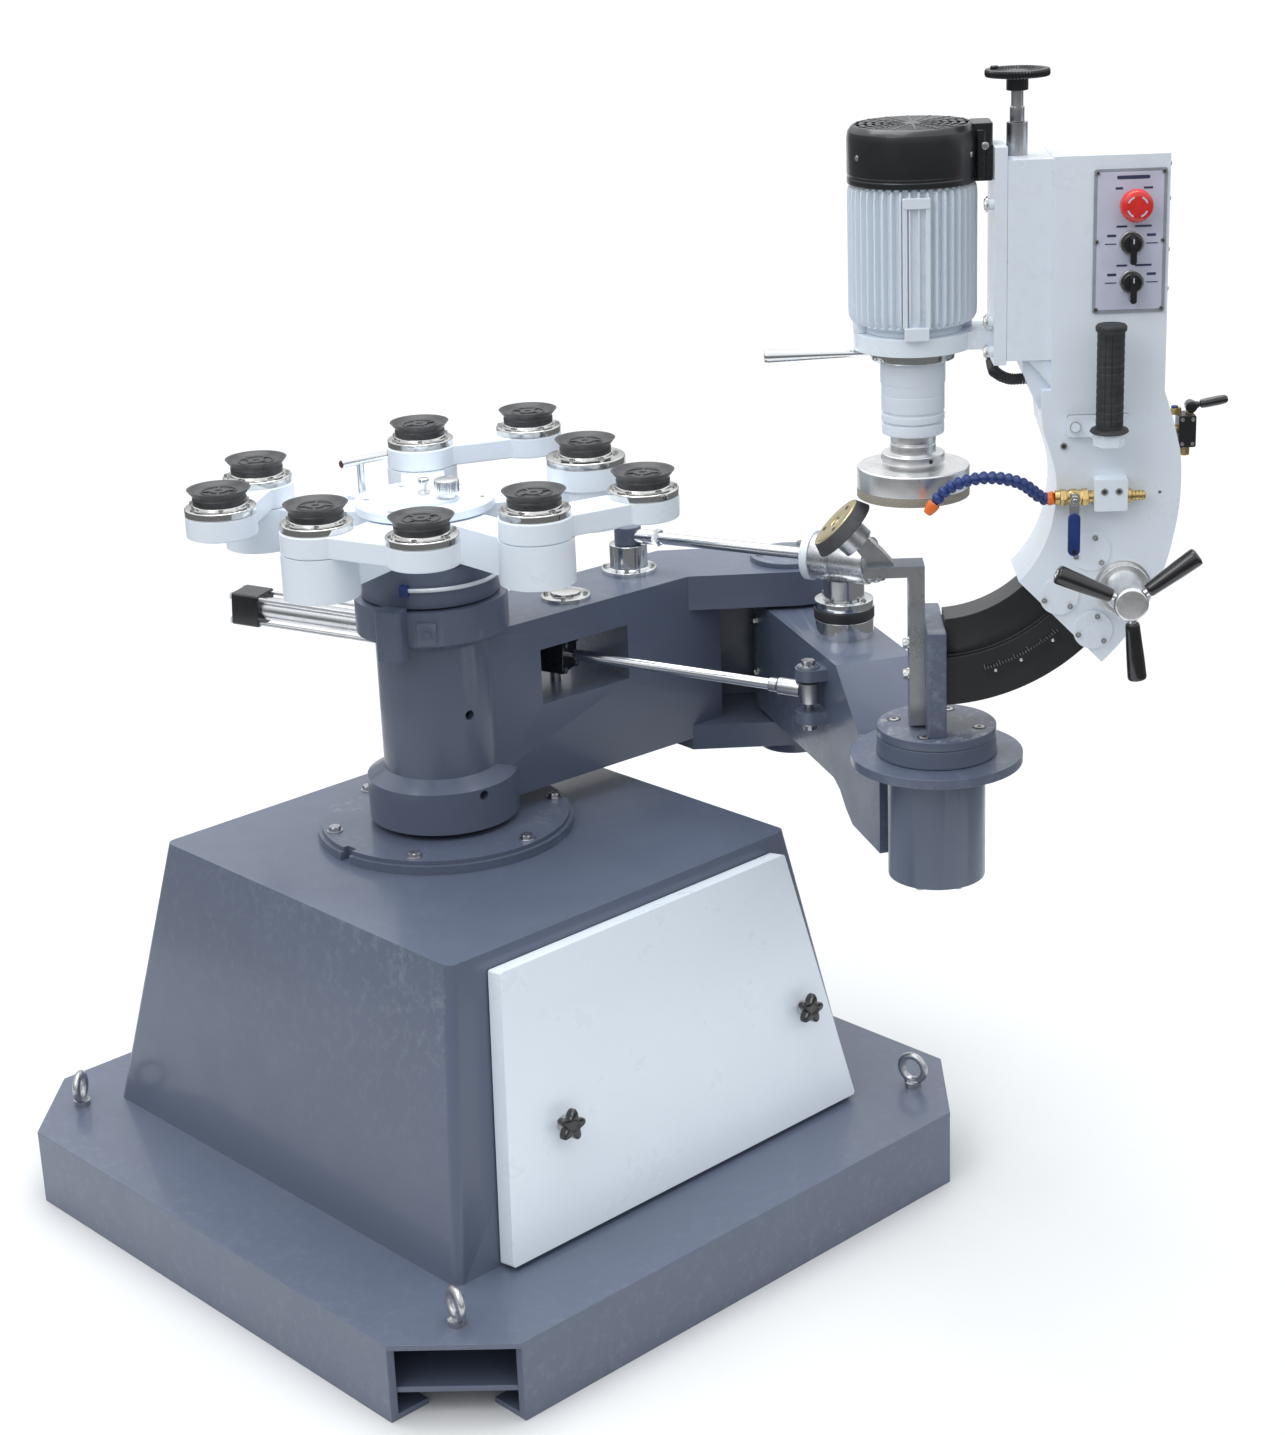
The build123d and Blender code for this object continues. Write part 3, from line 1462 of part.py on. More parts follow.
with BuildPart() as fixed_cup:
    add(cup_at([post_place(0)]))
fixed_cup.part.label = "fixed_cup"
export_step(fixed_cup.part, "parts/fixed_cup.step")

for number, direction in link_directions.items():
    root_x, root_y = post_place(number)
    tip = (root_x + link_pitch * cos(radians(direction)), root_y + link_pitch * sin(radians(direction)))
    with BuildPart() as swing_link:
        with BuildSketch(column_at(post_high + gap)):
            with Locations((root_x, root_y)):
                Circle(50)
            with Locations(tip):
                Circle(48)
            with Locations(Location(((root_x + tip[0]) / 2, (root_y + tip[1]) / 2, 0), direction)):
                Rectangle(link_pitch, 62)
        extrude(amount=link_top - post_high - gap)
        with BuildSketch(column_at(post_high + gap)):
            with Locations((root_x, root_y)):
                Circle(pin_radius + fit)
        extrude(amount=26.5, mode=Mode.SUBTRACT)
    swing_link.part.label = f"swing_link_{number}"
    export_step(swing_link.part, f"parts/swing_link_{number}.step")
    with BuildPart() as link_cups:
        add(cup_at([(root_x, root_y), tip]))
    link_cups.part.label = f"link_cups_{number}"
    export_step(link_cups.part, f"parts/link_cups_{number}.step")
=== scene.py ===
import json
from math import acos, atan2, cos, degrees, pi, radians, sin

import bpy
from mathutils import Matrix, Vector

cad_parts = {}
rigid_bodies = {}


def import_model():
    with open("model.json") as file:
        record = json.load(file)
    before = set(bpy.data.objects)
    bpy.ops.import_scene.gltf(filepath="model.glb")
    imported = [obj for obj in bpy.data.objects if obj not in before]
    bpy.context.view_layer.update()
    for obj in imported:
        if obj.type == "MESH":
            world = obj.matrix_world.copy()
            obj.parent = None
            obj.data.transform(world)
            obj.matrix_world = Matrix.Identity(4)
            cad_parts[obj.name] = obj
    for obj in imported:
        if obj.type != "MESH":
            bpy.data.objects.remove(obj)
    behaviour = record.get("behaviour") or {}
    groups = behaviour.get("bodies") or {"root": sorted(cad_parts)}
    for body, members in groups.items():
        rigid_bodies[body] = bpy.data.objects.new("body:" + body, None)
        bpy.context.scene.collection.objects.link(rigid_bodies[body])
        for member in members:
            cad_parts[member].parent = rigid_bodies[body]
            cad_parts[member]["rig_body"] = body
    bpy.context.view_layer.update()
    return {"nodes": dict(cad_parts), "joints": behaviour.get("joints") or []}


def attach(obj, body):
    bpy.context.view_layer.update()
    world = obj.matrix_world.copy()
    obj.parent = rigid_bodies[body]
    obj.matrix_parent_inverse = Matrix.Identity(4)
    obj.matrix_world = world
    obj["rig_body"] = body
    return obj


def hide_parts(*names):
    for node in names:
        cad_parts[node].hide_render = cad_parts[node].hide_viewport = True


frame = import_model()
scene = bpy.context.scene
MM = 0.001

# ---------------------------------------------------------------- places, in millimetres
JOINTS = {j["name"]: j for j in frame["joints"]}
UP = Vector((0, 0, 1))


def pivot(name, height):
    place = JOINTS[name]["pos_m"]
    return Vector((place[0] / MM, place[1] / MM, height))


def turned_frame(origin, x_dir, z_dir=UP):
    z = Vector(z_dir).normalized()
    x = (Vector(x_dir) - z * Vector(x_dir).dot(z)).normalized()
    y = z.cross(x)
    return Matrix(((x.x, y.x, z.x, origin[0]), (x.y, y.y, z.y, origin[1]), (x.z, y.z, z.z, origin[2]),
        (0, 0, 0, 1)))


def heading(angle):
    return Vector((cos(radians(angle)), sin(radians(angle)), 0))


def at(base, x=0.0, y=0.0, z=0.0, turn=0.0):
    return base @ Matrix.Translation((x, y, z)) @ Matrix.Rotation(radians(turn), 4, "Z")


def facing(base, x, y, z, direction, up=(0, 0, 1)):
    # a frame at a point of base whose own z looks along direction, given in base
    origin = base @ Vector((x, y, z))
    way = base.to_3x3() @ Vector(direction)
    side = base.to_3x3() @ Vector(up)
    if abs(way.normalized().dot(side.normalized())) > 0.95:
        side = base.to_3x3() @ Vector((1, 0, 0))
    return turned_frame(origin, side, way)


ARC_Z = 1047.0
FRONT = Vector(JOINTS["head_tilt"]["axis"])
OUT = Vector((-FRONT.x, -FRONT.y, 0)).cross(UP)
COLUMN = turned_frame(pivot("arm_swing", 0), (1, 0, 0))
ARM = turned_frame(pivot("arm_swing", 0), heading(-3.5))
ELBOW = turned_frame(pivot("elbow", 0), heading(-116.6))
WRIST = turned_frame(pivot("wrist_turn", 0), OUT)
ARC = turned_frame(pivot("wrist_turn", ARC_Z), OUT, FRONT)
MOTOR = at(WRIST, -29)


# ---------------------------------------------------------------- materials
class Nodes:
    def __init__(self, name):
        self.material = bpy.data.materials.new(name)
        self.material.use_nodes = True
        self.tree = self.material.node_tree
        self.shader = self.tree.nodes["Principled BSDF"]
        self.place = self.add("ShaderNodeTexCoord").outputs["Object"]

    def add(self, kind, **values):
        node = self.tree.nodes.new(kind)
        for key, value in values.items():
            setattr(node, key, value)
        return node

    def link(self, source, target):
        self.tree.links.new(source, target)

    def noise(self, scale, detail=3.0, rough=0.55, vector=None):
        node = self.add("ShaderNodeTexNoise")
        node.inputs["Scale"].default_value = scale
        node.inputs["Detail"].default_value = detail
        node.inputs["Roughness"].default_value = rough
        self.link(vector or self.place, node.inputs["Vector"])
        return node.outputs["Fac"]

    def stretch(self, scale):
        node = self.add("ShaderNodeMapping")
        node.inputs["Scale"].default_value = scale
        self.link(self.place, node.inputs["Vector"])
        return node.outputs["Vector"]

    def span(self, source, low, high, start=0.3, end=0.7):
        node = self.add("ShaderNodeMapRange")
        node.inputs["From Min"].default_value = start
        node.inputs["From Max"].default_value = end
        node.inputs["To Min"].default_value = low
        node.inputs["To Max"].default_value = high
        self.link(source, node.inputs["Value"])
        return node.outputs["Result"]

    def mix(self, factor, first, second):
        node = self.add("ShaderNodeMix", data_type="RGBA")
        for socket, value in ((node.inputs[0], factor), (node.inputs[6], first), (node.inputs[7], second)):
            if hasattr(value, "is_linked"):
                self.link(value, socket)
            elif socket.type == "RGBA":
                socket.default_value = (*value, 1.0)
            else:
                socket.default_value = value
        return node.outputs[2]

    def bump(self, height, strength, distance, normal=None):
        node = self.add("ShaderNodeBump")
        node.inputs["Strength"].default_value = strength
        node.inputs["Distance"].default_value = distance
        self.link(height, node.inputs["Height"])
        if normal:
            self.link(normal, node.inputs["Normal"])
        return node.outputs["Normal"]

    def edges(self, low=0.53, high=0.62):
        node = self.add("ShaderNodeNewGeometry")
        return self.span(node.outputs["Pointiness"], 0.0, 1.0, low, high)

    def set(self, **values):
        for key, value in values.items():
            socket = self.shader.inputs[key.replace("_", " ")]
            if hasattr(value, "is_linked"):
                self.link(value, socket)
            elif socket.type == "RGBA":
                socket.default_value = (*value, 1.0)
            else:
                socket.default_value = value
        return self.material


def scaled(rgb, k):
    return tuple(min(1.0, c * k) for c in rgb)


def paint(name, rgb, rough=0.32, coat=0.25, worn=None, dirt=0.06, peel=0.12, wear=0.35):
    n = Nodes(name)
    broad = n.noise(2.6, 5.0, 0.6)
    fine = n.noise(34.0, 6.0, 0.72)
    base = n.mix(n.span(broad, 0.0, 1.0, 0.25, 0.75), scaled(rgb, 1.0 - dirt), scaled(rgb, 1.0 + dirt))
    base = n.mix(n.span(fine, 0.0, 0.22, 0.58, 0.8), base, scaled(rgb, 0.82))
    if worn:
        mask = n.add("ShaderNodeMath", operation="MULTIPLY")
        n.link(n.edges(), mask.inputs[0])
        n.link(n.span(n.noise(55.0, 5.0, 0.75), 0.0, wear, 0.5, 0.66), mask.inputs[1])
        base = n.mix(mask.outputs[0], base, worn)
    ripple = n.bump(n.noise(420.0, 2.0, 0.5), peel, 0.0004)
    grit = n.bump(n.noise(2400.0, 2.0, 0.6), peel * 0.5, 0.0001, ripple)
    return n.set(Base_Color=base, Roughness=n.span(n.noise(14.0, 5.0, 0.65), rough - 0.05, rough + 0.09),
        Coat_Weight=coat, Coat_Roughness=0.12, Normal=grit)


def metal(name, rgb, rough=0.22, grain=(1, 1, 1), grain_scale=260.0, strength=0.08, stain=0.12):
    n = Nodes(name)
    lines = n.noise(grain_scale, 3.0, 0.6, n.stretch(grain))
    cloud = n.noise(30.0, 4.0, 0.65)
    base = n.mix(n.span(cloud, 0.0, 1.0, 0.35, 0.75), rgb, scaled(rgb, 1.0 - stain))
    return n.set(Base_Color=base, Metallic=1.0, Roughness=n.span(cloud, max(0.03, rough - 0.06),
        rough + 0.12), Normal=n.bump(lines, strength, 0.0003))


def lathe_metal(name, rgb, rough, centre, axis, pitch=1500.0, strength=0.12, stain=0.1):
    # turning marks run round the axis through centre
    n = Nodes(name)
    axis = Vector(axis).normalized()
    moved = n.add("ShaderNodeVectorMath", operation="SUBTRACT")
    n.link(n.place, moved.inputs[0])
    moved.inputs[1].default_value = Vector(centre) * MM
    along = n.add("ShaderNodeVectorMath", operation="DOT_PRODUCT")
    n.link(moved.outputs[0], along.inputs[0])
    along.inputs[1].default_value = axis
    away = n.add("ShaderNodeVectorMath", operation="CROSS_PRODUCT")
    n.link(moved.outputs[0], away.inputs[0])
    away.inputs[1].default_value = axis
    radius = n.add("ShaderNodeVectorMath", operation="LENGTH")
    n.link(away.outputs[0], radius.inputs[0])
    rings = n.add("ShaderNodeCombineXYZ")
    n.link(along.outputs["Value"], rings.inputs[0])
    n.link(radius.outputs["Value"], rings.inputs[1])
    lines = n.noise(pitch, 3.0, 0.7, rings.outputs[0])
    wide = n.noise(pitch * 0.12, 2.0, 0.5, rings.outputs[0])
    cloud = n.noise(40.0, 4.0, 0.65)
    base = n.mix(n.span(wide, 0.0, 1.0), scaled(rgb, 1.0 - stain), rgb)
    normal = n.bump(lines, strength, 0.0002)
    return n.set(Base_Color=base, Metallic=1.0, Roughness=n.span(cloud, rough - 0.05, rough + 0.12),
        Normal=normal)


def plastic(name, rgb, rough=0.35, grain=900.0, strength=0.1, coat=0.0, fade=0.1):
    n = Nodes(name)
    cloud = n.noise(45.0, 4.0, 0.65)
    base = n.mix(n.span(cloud, 0.0, 1.0), scaled(rgb, 1.0 - fade), scaled(rgb, 1.0 + 2 * fade))
    return n.set(Base_Color=base, Roughness=n.span(cloud, max(0.05, rough - 0.08), rough + 0.1),
        Coat_Weight=coat, Normal=n.bump(n.noise(grain, 3.0, 0.6), strength, 0.0003))


def grit_stone(name):
    n = Nodes(name)
    cells = n.add("ShaderNodeTexVoronoi")
    cells.inputs["Scale"].default_value = 1400.0
    n.link(n.place, cells.inputs["Vector"])
    base = n.mix(n.span(cells.outputs["Distance"], 0.0, 1.0, 0.1, 0.7), (0.16, 0.14, 0.11),
        (0.42, 0.39, 0.33))
    return n.set(Base_Color=base, Roughness=0.75, Metallic=0.35, Normal=n.bump(cells.outputs["Distance"], 0.5,
        0.0005))


SLATE = (0.091, 0.113, 0.168)
WHITE = (0.77, 0.84, 0.92)
slate = paint("slate_paint", SLATE, rough=0.36, coat=0.3, worn=(0.30, 0.33, 0.38), dirt=0.06)
slate_scuffed = paint("slate_scuffed", SLATE, rough=0.33, coat=0.25, worn=(0.50, 0.53, 0.57), dirt=0.10,
    peel=0.16, wear=0.6)
white = paint("white_paint", WHITE, rough=0.30, coat=0.35, worn=(0.42, 0.44, 0.47), dirt=0.02, wear=0.2)
white_motor = paint("motor_paint", scaled(WHITE, 0.94), rough=0.38, coat=0.1, worn=(0.4, 0.42, 0.45),
    dirt=0.05)
black_paint = paint("black_rail", (0.012, 0.013, 0.015), rough=0.34, coat=0.2, dirt=0.15)
black_cast = paint("black_cover", (0.010, 0.011, 0.013), rough=0.28, coat=0.3, dirt=0.2)
chrome = metal("chrome", (0.76, 0.775, 0.79), 0.11, strength=0.01, stain=0.05)
chrome_cups = metal("chrome_flange", (0.72, 0.72, 0.71), 0.12, strength=0.05, stain=0.2)
steel = metal("plain_steel", (0.50, 0.51, 0.53), 0.28, (1, 1, 8), 300.0, 0.15, 0.2)
zinc = metal("zinc_screw", (0.62, 0.62, 0.60), 0.25, strength=0.1, grain_scale=900.0)
# dark steel for black screws; it also colours screw recesses and the rings round the flange screws as painted
# shade
dark_steel = metal("dark_steel", (0.12, 0.12, 0.13), 0.38, strength=0.2, grain_scale=700.0)
brass = metal("brass", (0.68, 0.50, 0.22), 0.25, strength=0.12, stain=0.3)
wheel_metal = lathe_metal("turned_wheel", (0.86, 0.865, 0.87), 0.30, MOTOR @ Vector((0, 0, 1070)), UP,
    strength=0.25)
tie_metal = lathe_metal("turned_hub", (0.58, 0.59, 0.61), 0.24, pivot("tie_hub_swivel", 870), UP)
tube_metal = metal("drawn_tube", (0.66, 0.67, 0.69), 0.22, (1, 1, 1), 500.0, 0.05)
roller_axis = Vector(JOINTS["guide_roller_spin"]["axis"])
roller_centre = pivot("guide_roller_spin", JOINTS["guide_roller_spin"]["pos_m"][2] / MM)
roller_brass = lathe_metal("roller_face", (0.62, 0.52, 0.28), 0.3, roller_centre, roller_axis, 900.0, 0.2,
    0.25)
rubber = plastic("rubber", (0.020, 0.021, 0.023), 0.55, 1400.0, 0.3, fade=0.3)
cup_rubber = plastic("cup_rubber", (0.030, 0.031, 0.034), 0.42, 1200.0, 0.2, fade=0.4)
roller_rubber = plastic("roller_tyre", (0.045, 0.047, 0.052), 0.6, 1100.0, 0.35, fade=0.25)
gloss_black = plastic("gloss_black", (0.010, 0.010, 0.011), 0.16, 700.0, 0.03, coat=0.5, fade=0.2)
red = plastic("stop_red", (0.62, 0.022, 0.018), 0.26, 900.0, 0.04, coat=0.3)
tee_plug = plastic("tee_plug", (0.07, 0.012, 0.012), 0.4, 900.0, 0.04)
blue = plastic("hose_blue", (0.012, 0.035, 0.17), 0.36, 1000.0, 0.1, coat=0.1)
orange = plastic("nozzle_orange", (0.75, 0.16, 0.02), 0.4, 1000.0, 0.08)
film = plastic("panel_film", (0.55, 0.57, 0.70), 0.42, 1800.0, 0.05, fade=0.03)
film_edge = plastic("panel_border", (0.28, 0.30, 0.34), 0.4, 1500.0, 0.08)
ink = plastic("print_ink", (0.03, 0.04, 0.10), 0.5, 1500.0, 0.03)
clear_tube = plastic("air_line", (0.62, 0.66, 0.70), 0.12, 600.0, 0.02, coat=0.4)
stone = grit_stone("abrasive")


# ---------------------------------------------------------------- shapes, as (points, faces)
def soften(profile, size, steps=3):
    # rounds the corners of a profile; each item is (radius, height, band)
    out = [profile[0]]
    for before, here, after in zip(profile, profile[1:], profile[2:]):
        p, a, b = (Vector(v[:2]) for v in (here, before, after))
        reach = min(size, (a - p).length * 0.45, (b - p).length * 0.45)
        if reach < 0.05 or (a - p).angle(b - p, pi) > radians(160):
            out.append(here)
            continue
        start = p + (a - p).normalized() * reach
        end = p + (b - p).normalized() * reach
        for k in range(steps + 1):
            t = k / steps
            q = start * (1 - t) ** 2 + p * 2 * t * (1 - t) + end * t * t
            out.append((q.x, q.y, here[2] if k == steps else before[2]))
    return out + [profile[-1]]


def turned(base, profile, segs=72, soft=0.8, shape=None):
    # profile: (radius, height) or (radius, height, band of the stretch that follows)
    rows = [(*row, 0) if len(row) == 2 else row for row in profile]
    if soft:
        rows = soften(rows, soft)
    points, faces, bands = [], [], []
    for i, (r, z, _) in enumerate(rows):
        for k in range(segs):
            a = 2 * pi * k / segs
            f = shape(a, r, z) if shape else 1.0
            points.append(base @ Vector((r * f * cos(a), r * f * sin(a), z)))
    for i in range(len(rows) - 1):
        for k in range(segs):
            j = (k + 1) % segs
            faces.append((i * segs + k, i * segs + j, (i + 1) * segs + j, (i + 1) * segs + k))
            bands.append(rows[i][2])
    if rows[0][0] > 1e-6:
        faces.append(tuple(reversed(range(segs))))
        bands.append(rows[0][2])
    if rows[-1][0] > 1e-6:
        last = (len(rows) - 1) * segs
        faces.append(tuple(range(last, last + segs)))
        bands.append(rows[-2][2])
    return points, faces, bands


def ring(base, inner, outer, low, high, segs=72, soft=0.6, band=0):
    rows = [(inner, low, band), (outer, low, band), (outer, high, band), (inner, high, band),
        (inner, low, band)]
    rows = soften([*rows, rows[1]], soft)[:-1]
    points, faces, bands = turned(base, rows, segs, 0)
    return points, faces[:-2], bands[:-2]


def slab(base, outline, low, high, band=0):
    count = len(outline)
    points = [base @ Vector((x, y, low)) for x, y in outline] + [base @ Vector((x, y, high)) for x,
        y in outline]
    faces = [tuple(reversed(range(count))), tuple(range(count, 2 * count))]
    faces += [(k, (k + 1) % count, count + (k + 1) % count, count + k) for k in range(count)]
    return points, faces, [band] * len(faces)


def rectangle(width, height, corner=0.0, x=0.0, y=0.0, steps=5):
    if not corner:
        return [(x + sx * width / 2, y + sy * height / 2) for sx, sy in ((-1, -1), (1, -1), (1, 1), (-1, 1))]
    out = []
    for sx, sy, start in ((1, 1, 0), (-1, 1, 90), (-1, -1, 180), (1, -1, 270)):
        for k in range(steps + 1):
            a = radians(start + 90 * k / steps)
            out.append((x + sx * (width / 2 - corner) + corner * cos(a),
                y + sy * (height / 2 - corner) + corner * sin(a)))
    return out


def smooth_line(points, per=8):
    pts = [Vector(p) for p in points]
    pts = [pts[0] * 2 - pts[1], *pts, pts[-1] * 2 - pts[-2]]
    out = []
    for a, b, c, d in zip(pts, pts[1:], pts[2:], pts[3:]):
        for k in range(per):
            t = k / per
            out.append(0.5 * (2 * b + (c - a) * t + (2 * a - 5 * b + 4 * c - d) * t * t
                              + (3 * b - a - 3 * c + d) * t ** 3))
    return out + [pts[-2]]


def pipe(line, radius, segs=16, band=0):
    # radius is a number or a function of the share of the way along
    points, faces = [], []
    side = None
    for i, p in enumerate(line):
        ahead = line[min(i + 1, len(line) - 1)] - line[max(i - 1, 0)]
        way = ahead.normalized()
        if side is None:
            side = way.orthogonal().normalized()
        side = (side - way * side.dot(way)).normalized()
        other = way.cross(side)
        r = radius(i / (len(line) - 1)) if callable(radius) else radius
        for k in range(segs):
            a = 2 * pi * k / segs
            points.append(p + side * (r * cos(a)) + other * (r * sin(a)))
    for i in range(len(line) - 1):
        for k in range(segs):
            j = (k + 1) % segs
            faces.append((i * segs + k, i * segs + j, (i + 1) * segs + j, (i + 1) * segs + k))
    faces.append(tuple(reversed(range(segs))))
    faces.append(tuple(range((len(line) - 1) * segs, len(line) * segs)))
    return points, faces, [band] * len(faces)


def hexagonal(a):
    # how far a hexagon's edge lies from its centre at angle a, as a share of its corner radius
    return cos(pi / 6) / cos((a % (pi / 3)) - pi / 6)


def hexed_beyond(radius):
    # a shape for turned(): hexagonal where the profile is wider than radius
    return lambda a, r, z: hexagonal(a) if r > radius else 1.0


def socket_screw(base, radius, height, band=0, dark=None):
    # cap head with a hexagonal recess, standing on the base plane; the recess walls and floor can take their
    # own band, a dark colour painted as shade in the recess
    segs = 36
    recess = radius * 0.55

    rows = [(radius, 0), (radius, height * 0.8), (radius * 0.94, height), ("h", height), ("h", height * 0.4)]
    points, faces, bands = [], [], []
    for r, z in rows:
        for k in range(segs):
            a = 2 * pi * k / segs
            size = recess * hexagonal(a) if r == "h" else r
            points.append(base @ Vector((size * cos(a), size * sin(a), z)))
    for i in range(len(rows) - 1):
        for k in range(segs):
            j = (k + 1) % segs
            faces.append((i * segs + k, i * segs + j, (i + 1) * segs + j, (i + 1) * segs + k))
            bands.append(dark if dark is not None and i == 3 else band)
    last = (len(rows) - 1) * segs
    faces.append(tuple(range(last, last + segs)))
    bands.append(dark if dark is not None else band)
    faces.append(tuple(reversed(range(segs))))
    bands.append(band)
    return points, faces, bands


def hex_bolt(base, size, height, band=0):
    # hexagonal head with a rounded crown and a washer face
    washer = turned(base, [(size * 1.25, 0, band), (size * 1.25, 1.6, band), (0, 1.6, band)], 40, 0.3)
    segs = 48

    def hexed(a, r, z):
        return min(hexagonal(a), 0.985) if z < height - 0.5 else 1.0

    head = turned(base, [(size, 1.6, band), (size, height - 1.2, band), (size * 0.84, height, band),
        (0, height, band)], segs, 0.0, hexed)
    return merged(washer, head)


def merged(*shapes):
    points, faces, bands = [], [], []
    for p, f, b in shapes:
        shift = len(points)
        points += p
        faces += [tuple(v + shift for v in face) for face in f]
        bands += b
    return points, faces, bands


def build(name, body, shape, mats, bevel=0.0, replaces=(), sharp=32, segments=2):
    points, faces, bands = shape
    mesh = bpy.data.meshes.new(name)
    mesh.from_pydata([p * MM for p in points], [], faces)
    for material in mats:
        mesh.materials.append(material)
    mesh.polygons.foreach_set("material_index", bands)
    return dress(name, body, mesh, bevel, replaces, sharp, segments)


def dress(name, body, mesh, bevel, replaces, sharp=32, segments=2):
    mesh.validate()
    mesh.shade_smooth()
    mesh.set_sharp_from_angle(angle=radians(sharp))
    piece = bpy.data.objects.new(name, mesh)
    scene.collection.objects.link(piece)
    if bevel:
        edge = piece.modifiers.new("edge", "BEVEL")
        edge.width = bevel * MM
        edge.segments = segments
        edge.limit_method = "ANGLE"
        edge.angle_limit = radians(sharp)
        edge.use_clamp_overlap = True
        edge.harden_normals = True
    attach(piece, body)
    if replaces:
        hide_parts(*replaces)
    return piece


def skin(node, mats, bevel=1.0, pick=None):
    # the CAD node's own shape with rounded edges; pick gives a face's material from its centre and normal
    import bmesh
    source = frame["nodes"][node]
    work = bmesh.new()
    work.from_mesh(source.data)
    bmesh.ops.remove_doubles(work, verts=work.verts, dist=2e-5)
    bmesh.ops.dissolve_limit(work, angle_limit=radians(0.6), verts=work.verts, edges=work.edges)
    mesh = bpy.data.meshes.new(node + "_skin")
    work.to_mesh(mesh)
    work.free()
    mesh.materials.clear()
    for material in mats:
        mesh.materials.append(material)
    if pick:
        index = [pick(p.center / MM, p.normal) for p in mesh.polygons]
        mesh.polygons.foreach_set("material_index", index)
    else:
        mesh.polygons.foreach_set("material_index", [0] * len(mesh.polygons))
    return dress(node + "_skin", source["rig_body"], mesh, bevel, (node,))


# ---------------------------------------------------------------- camera
YAW, PITCH, ROLL = radians(42.721), radians(19.459), radians(-2.328)
CAMERA_PLACE = (-2.1914, -2.7242, 1.9219)
LENS_MM, SENSOR_MM = 66.536, 36.0
CAMERA_AHEAD = Vector((sin(YAW) * cos(PITCH), cos(YAW) * cos(PITCH), -sin(PITCH)))


def aim_camera():
    ahead = CAMERA_AHEAD
    side = Vector((cos(YAW), -sin(YAW), 0))
    above = side.cross(ahead)
    right = side * cos(ROLL) + above * sin(ROLL)
    top = above * cos(ROLL) - side * sin(ROLL)
    camera = bpy.data.objects.new("camera", bpy.data.cameras.new("camera"))
    camera.matrix_world = Matrix((*((right[k], top[k], -ahead[k], CAMERA_PLACE[k]) for k in range(3)),
        (0, 0, 0, 1)))
    camera.data.sensor_width = SENSOR_MM
    camera.data.lens = LENS_MM
    camera.data.clip_end = 60.0
    scene.collection.objects.link(camera)
    scene.camera = camera


aim_camera()

# ---------------------------------------------------------------- floor frame and pedestal
skin("base_frame", [slate], 1.6)
skin("eye_bolts", [steel], 0.4)
skin("pedestal", [slate], 2.0)
skin("access_door", [white], 1.5)


def post_color(c, n):
    local = COLUMN.inverted() @ c
    reach = local.xy.length
    if reach > 96.3 and 890 < c.z < 910:
        turn = degrees(atan2(local.y, local.x))
        return 3 if min(abs(turn + 149), abs(turn + 40)) < 4.2 else 2
    return 1 if n.z > 0.9 and c.z > 925 else 0


skin("column_post", [slate, steel, clear_tube, blue], 1.0, post_color)
skin("column_bearings", [steel], 0.5)
skin("table_gear_motor", [slate], 2.0)

bolts = []
for turn in range(6):
    angle = 35 + 60 * turn
    bolts.append(hex_bolt(at(COLUMN, 162 * cos(radians(angle)), 162 * sin(radians(angle)), 537, 17 * turn),
        9.2, 7.5))
    shank = at(COLUMN, 162 * cos(radians(angle)), 162 * sin(radians(angle)), 0)
    bolts.append(turned(shank, [(5, 495), (5, 537)], 24, 0.5))
build("flange_bolt_heads", "base", merged(*bolts), [steel], 0, ("flange_bolts",))


def star_knob(node):
    place = JOINTS[node + "_turn"]["pos_m"]
    base = turned_frame(Vector(place) / MM, (1, 0, 0), JOINTS[node + "_turn"]["axis"])
    base = at(base, 0, 0, 30 - 27.7 - 4.0)

    def lobes(a, r, z):
        return 1 + 0.26 * cos(5 * a) * min(1.0, max(0.0, (z - 7) / 3)) if r > 9 else 1.0

    head = turned(base, [(10.5, 0.4, 1), (10.5, 8, 1), (15, 9, 0), (17.6, 12, 0), (17.6, 20, 0),
        (15, 23.4, 0), (8, 24, 0), (7, 22.6, 0), (0, 22.6, 0)], 80, 1.2, lobes)
    stud = turned(base, [(4.9, -26), (4.9, 0.4)], 24, 0.4)
    build(node + "_star", node, merged(head, (stud[0], stud[1], [1] * len(stud[2]))), [gloss_black, zinc], 0,
        (node,))


star_knob("door_knob_left")
star_knob("door_knob_right")

# ---------------------------------------------------------------- arm
skin("main_arm", [slate], 1.8)


def fastener_ring(base, radius, count, start, size, height, kind=socket_screw, **extra):
    out = []
    for k in range(count):
        a = radians(start + 360 * k / count)
        out.append(kind(at(base, radius * cos(a), radius * sin(a), 0, 23 * k), size, height, **extra))
    return merged(*out)


pin_low = turned(at(ELBOW), [(25, 522.5), (25, 814)], 48, 0.5)
cap_top = turned(at(ELBOW), [(60, 815.2), (60, 823), (0, 823)], 96, 1.5)
cap_low = turned(at(ELBOW), [(0, 522), (52, 522), (52, 543.8)], 96, 1.5)
heads = fastener_ring(at(ELBOW, 0, 0, 823), 46, 3, 20, 6, 5.5)
build("elbow_caps", "arm", merged(cap_top, cap_low), [slate], 0, ("elbow_pin",))
build("elbow_shaft", "arm", pin_low, [steel], 0)
build("elbow_cap_screws", "arm", heads, [zinc])

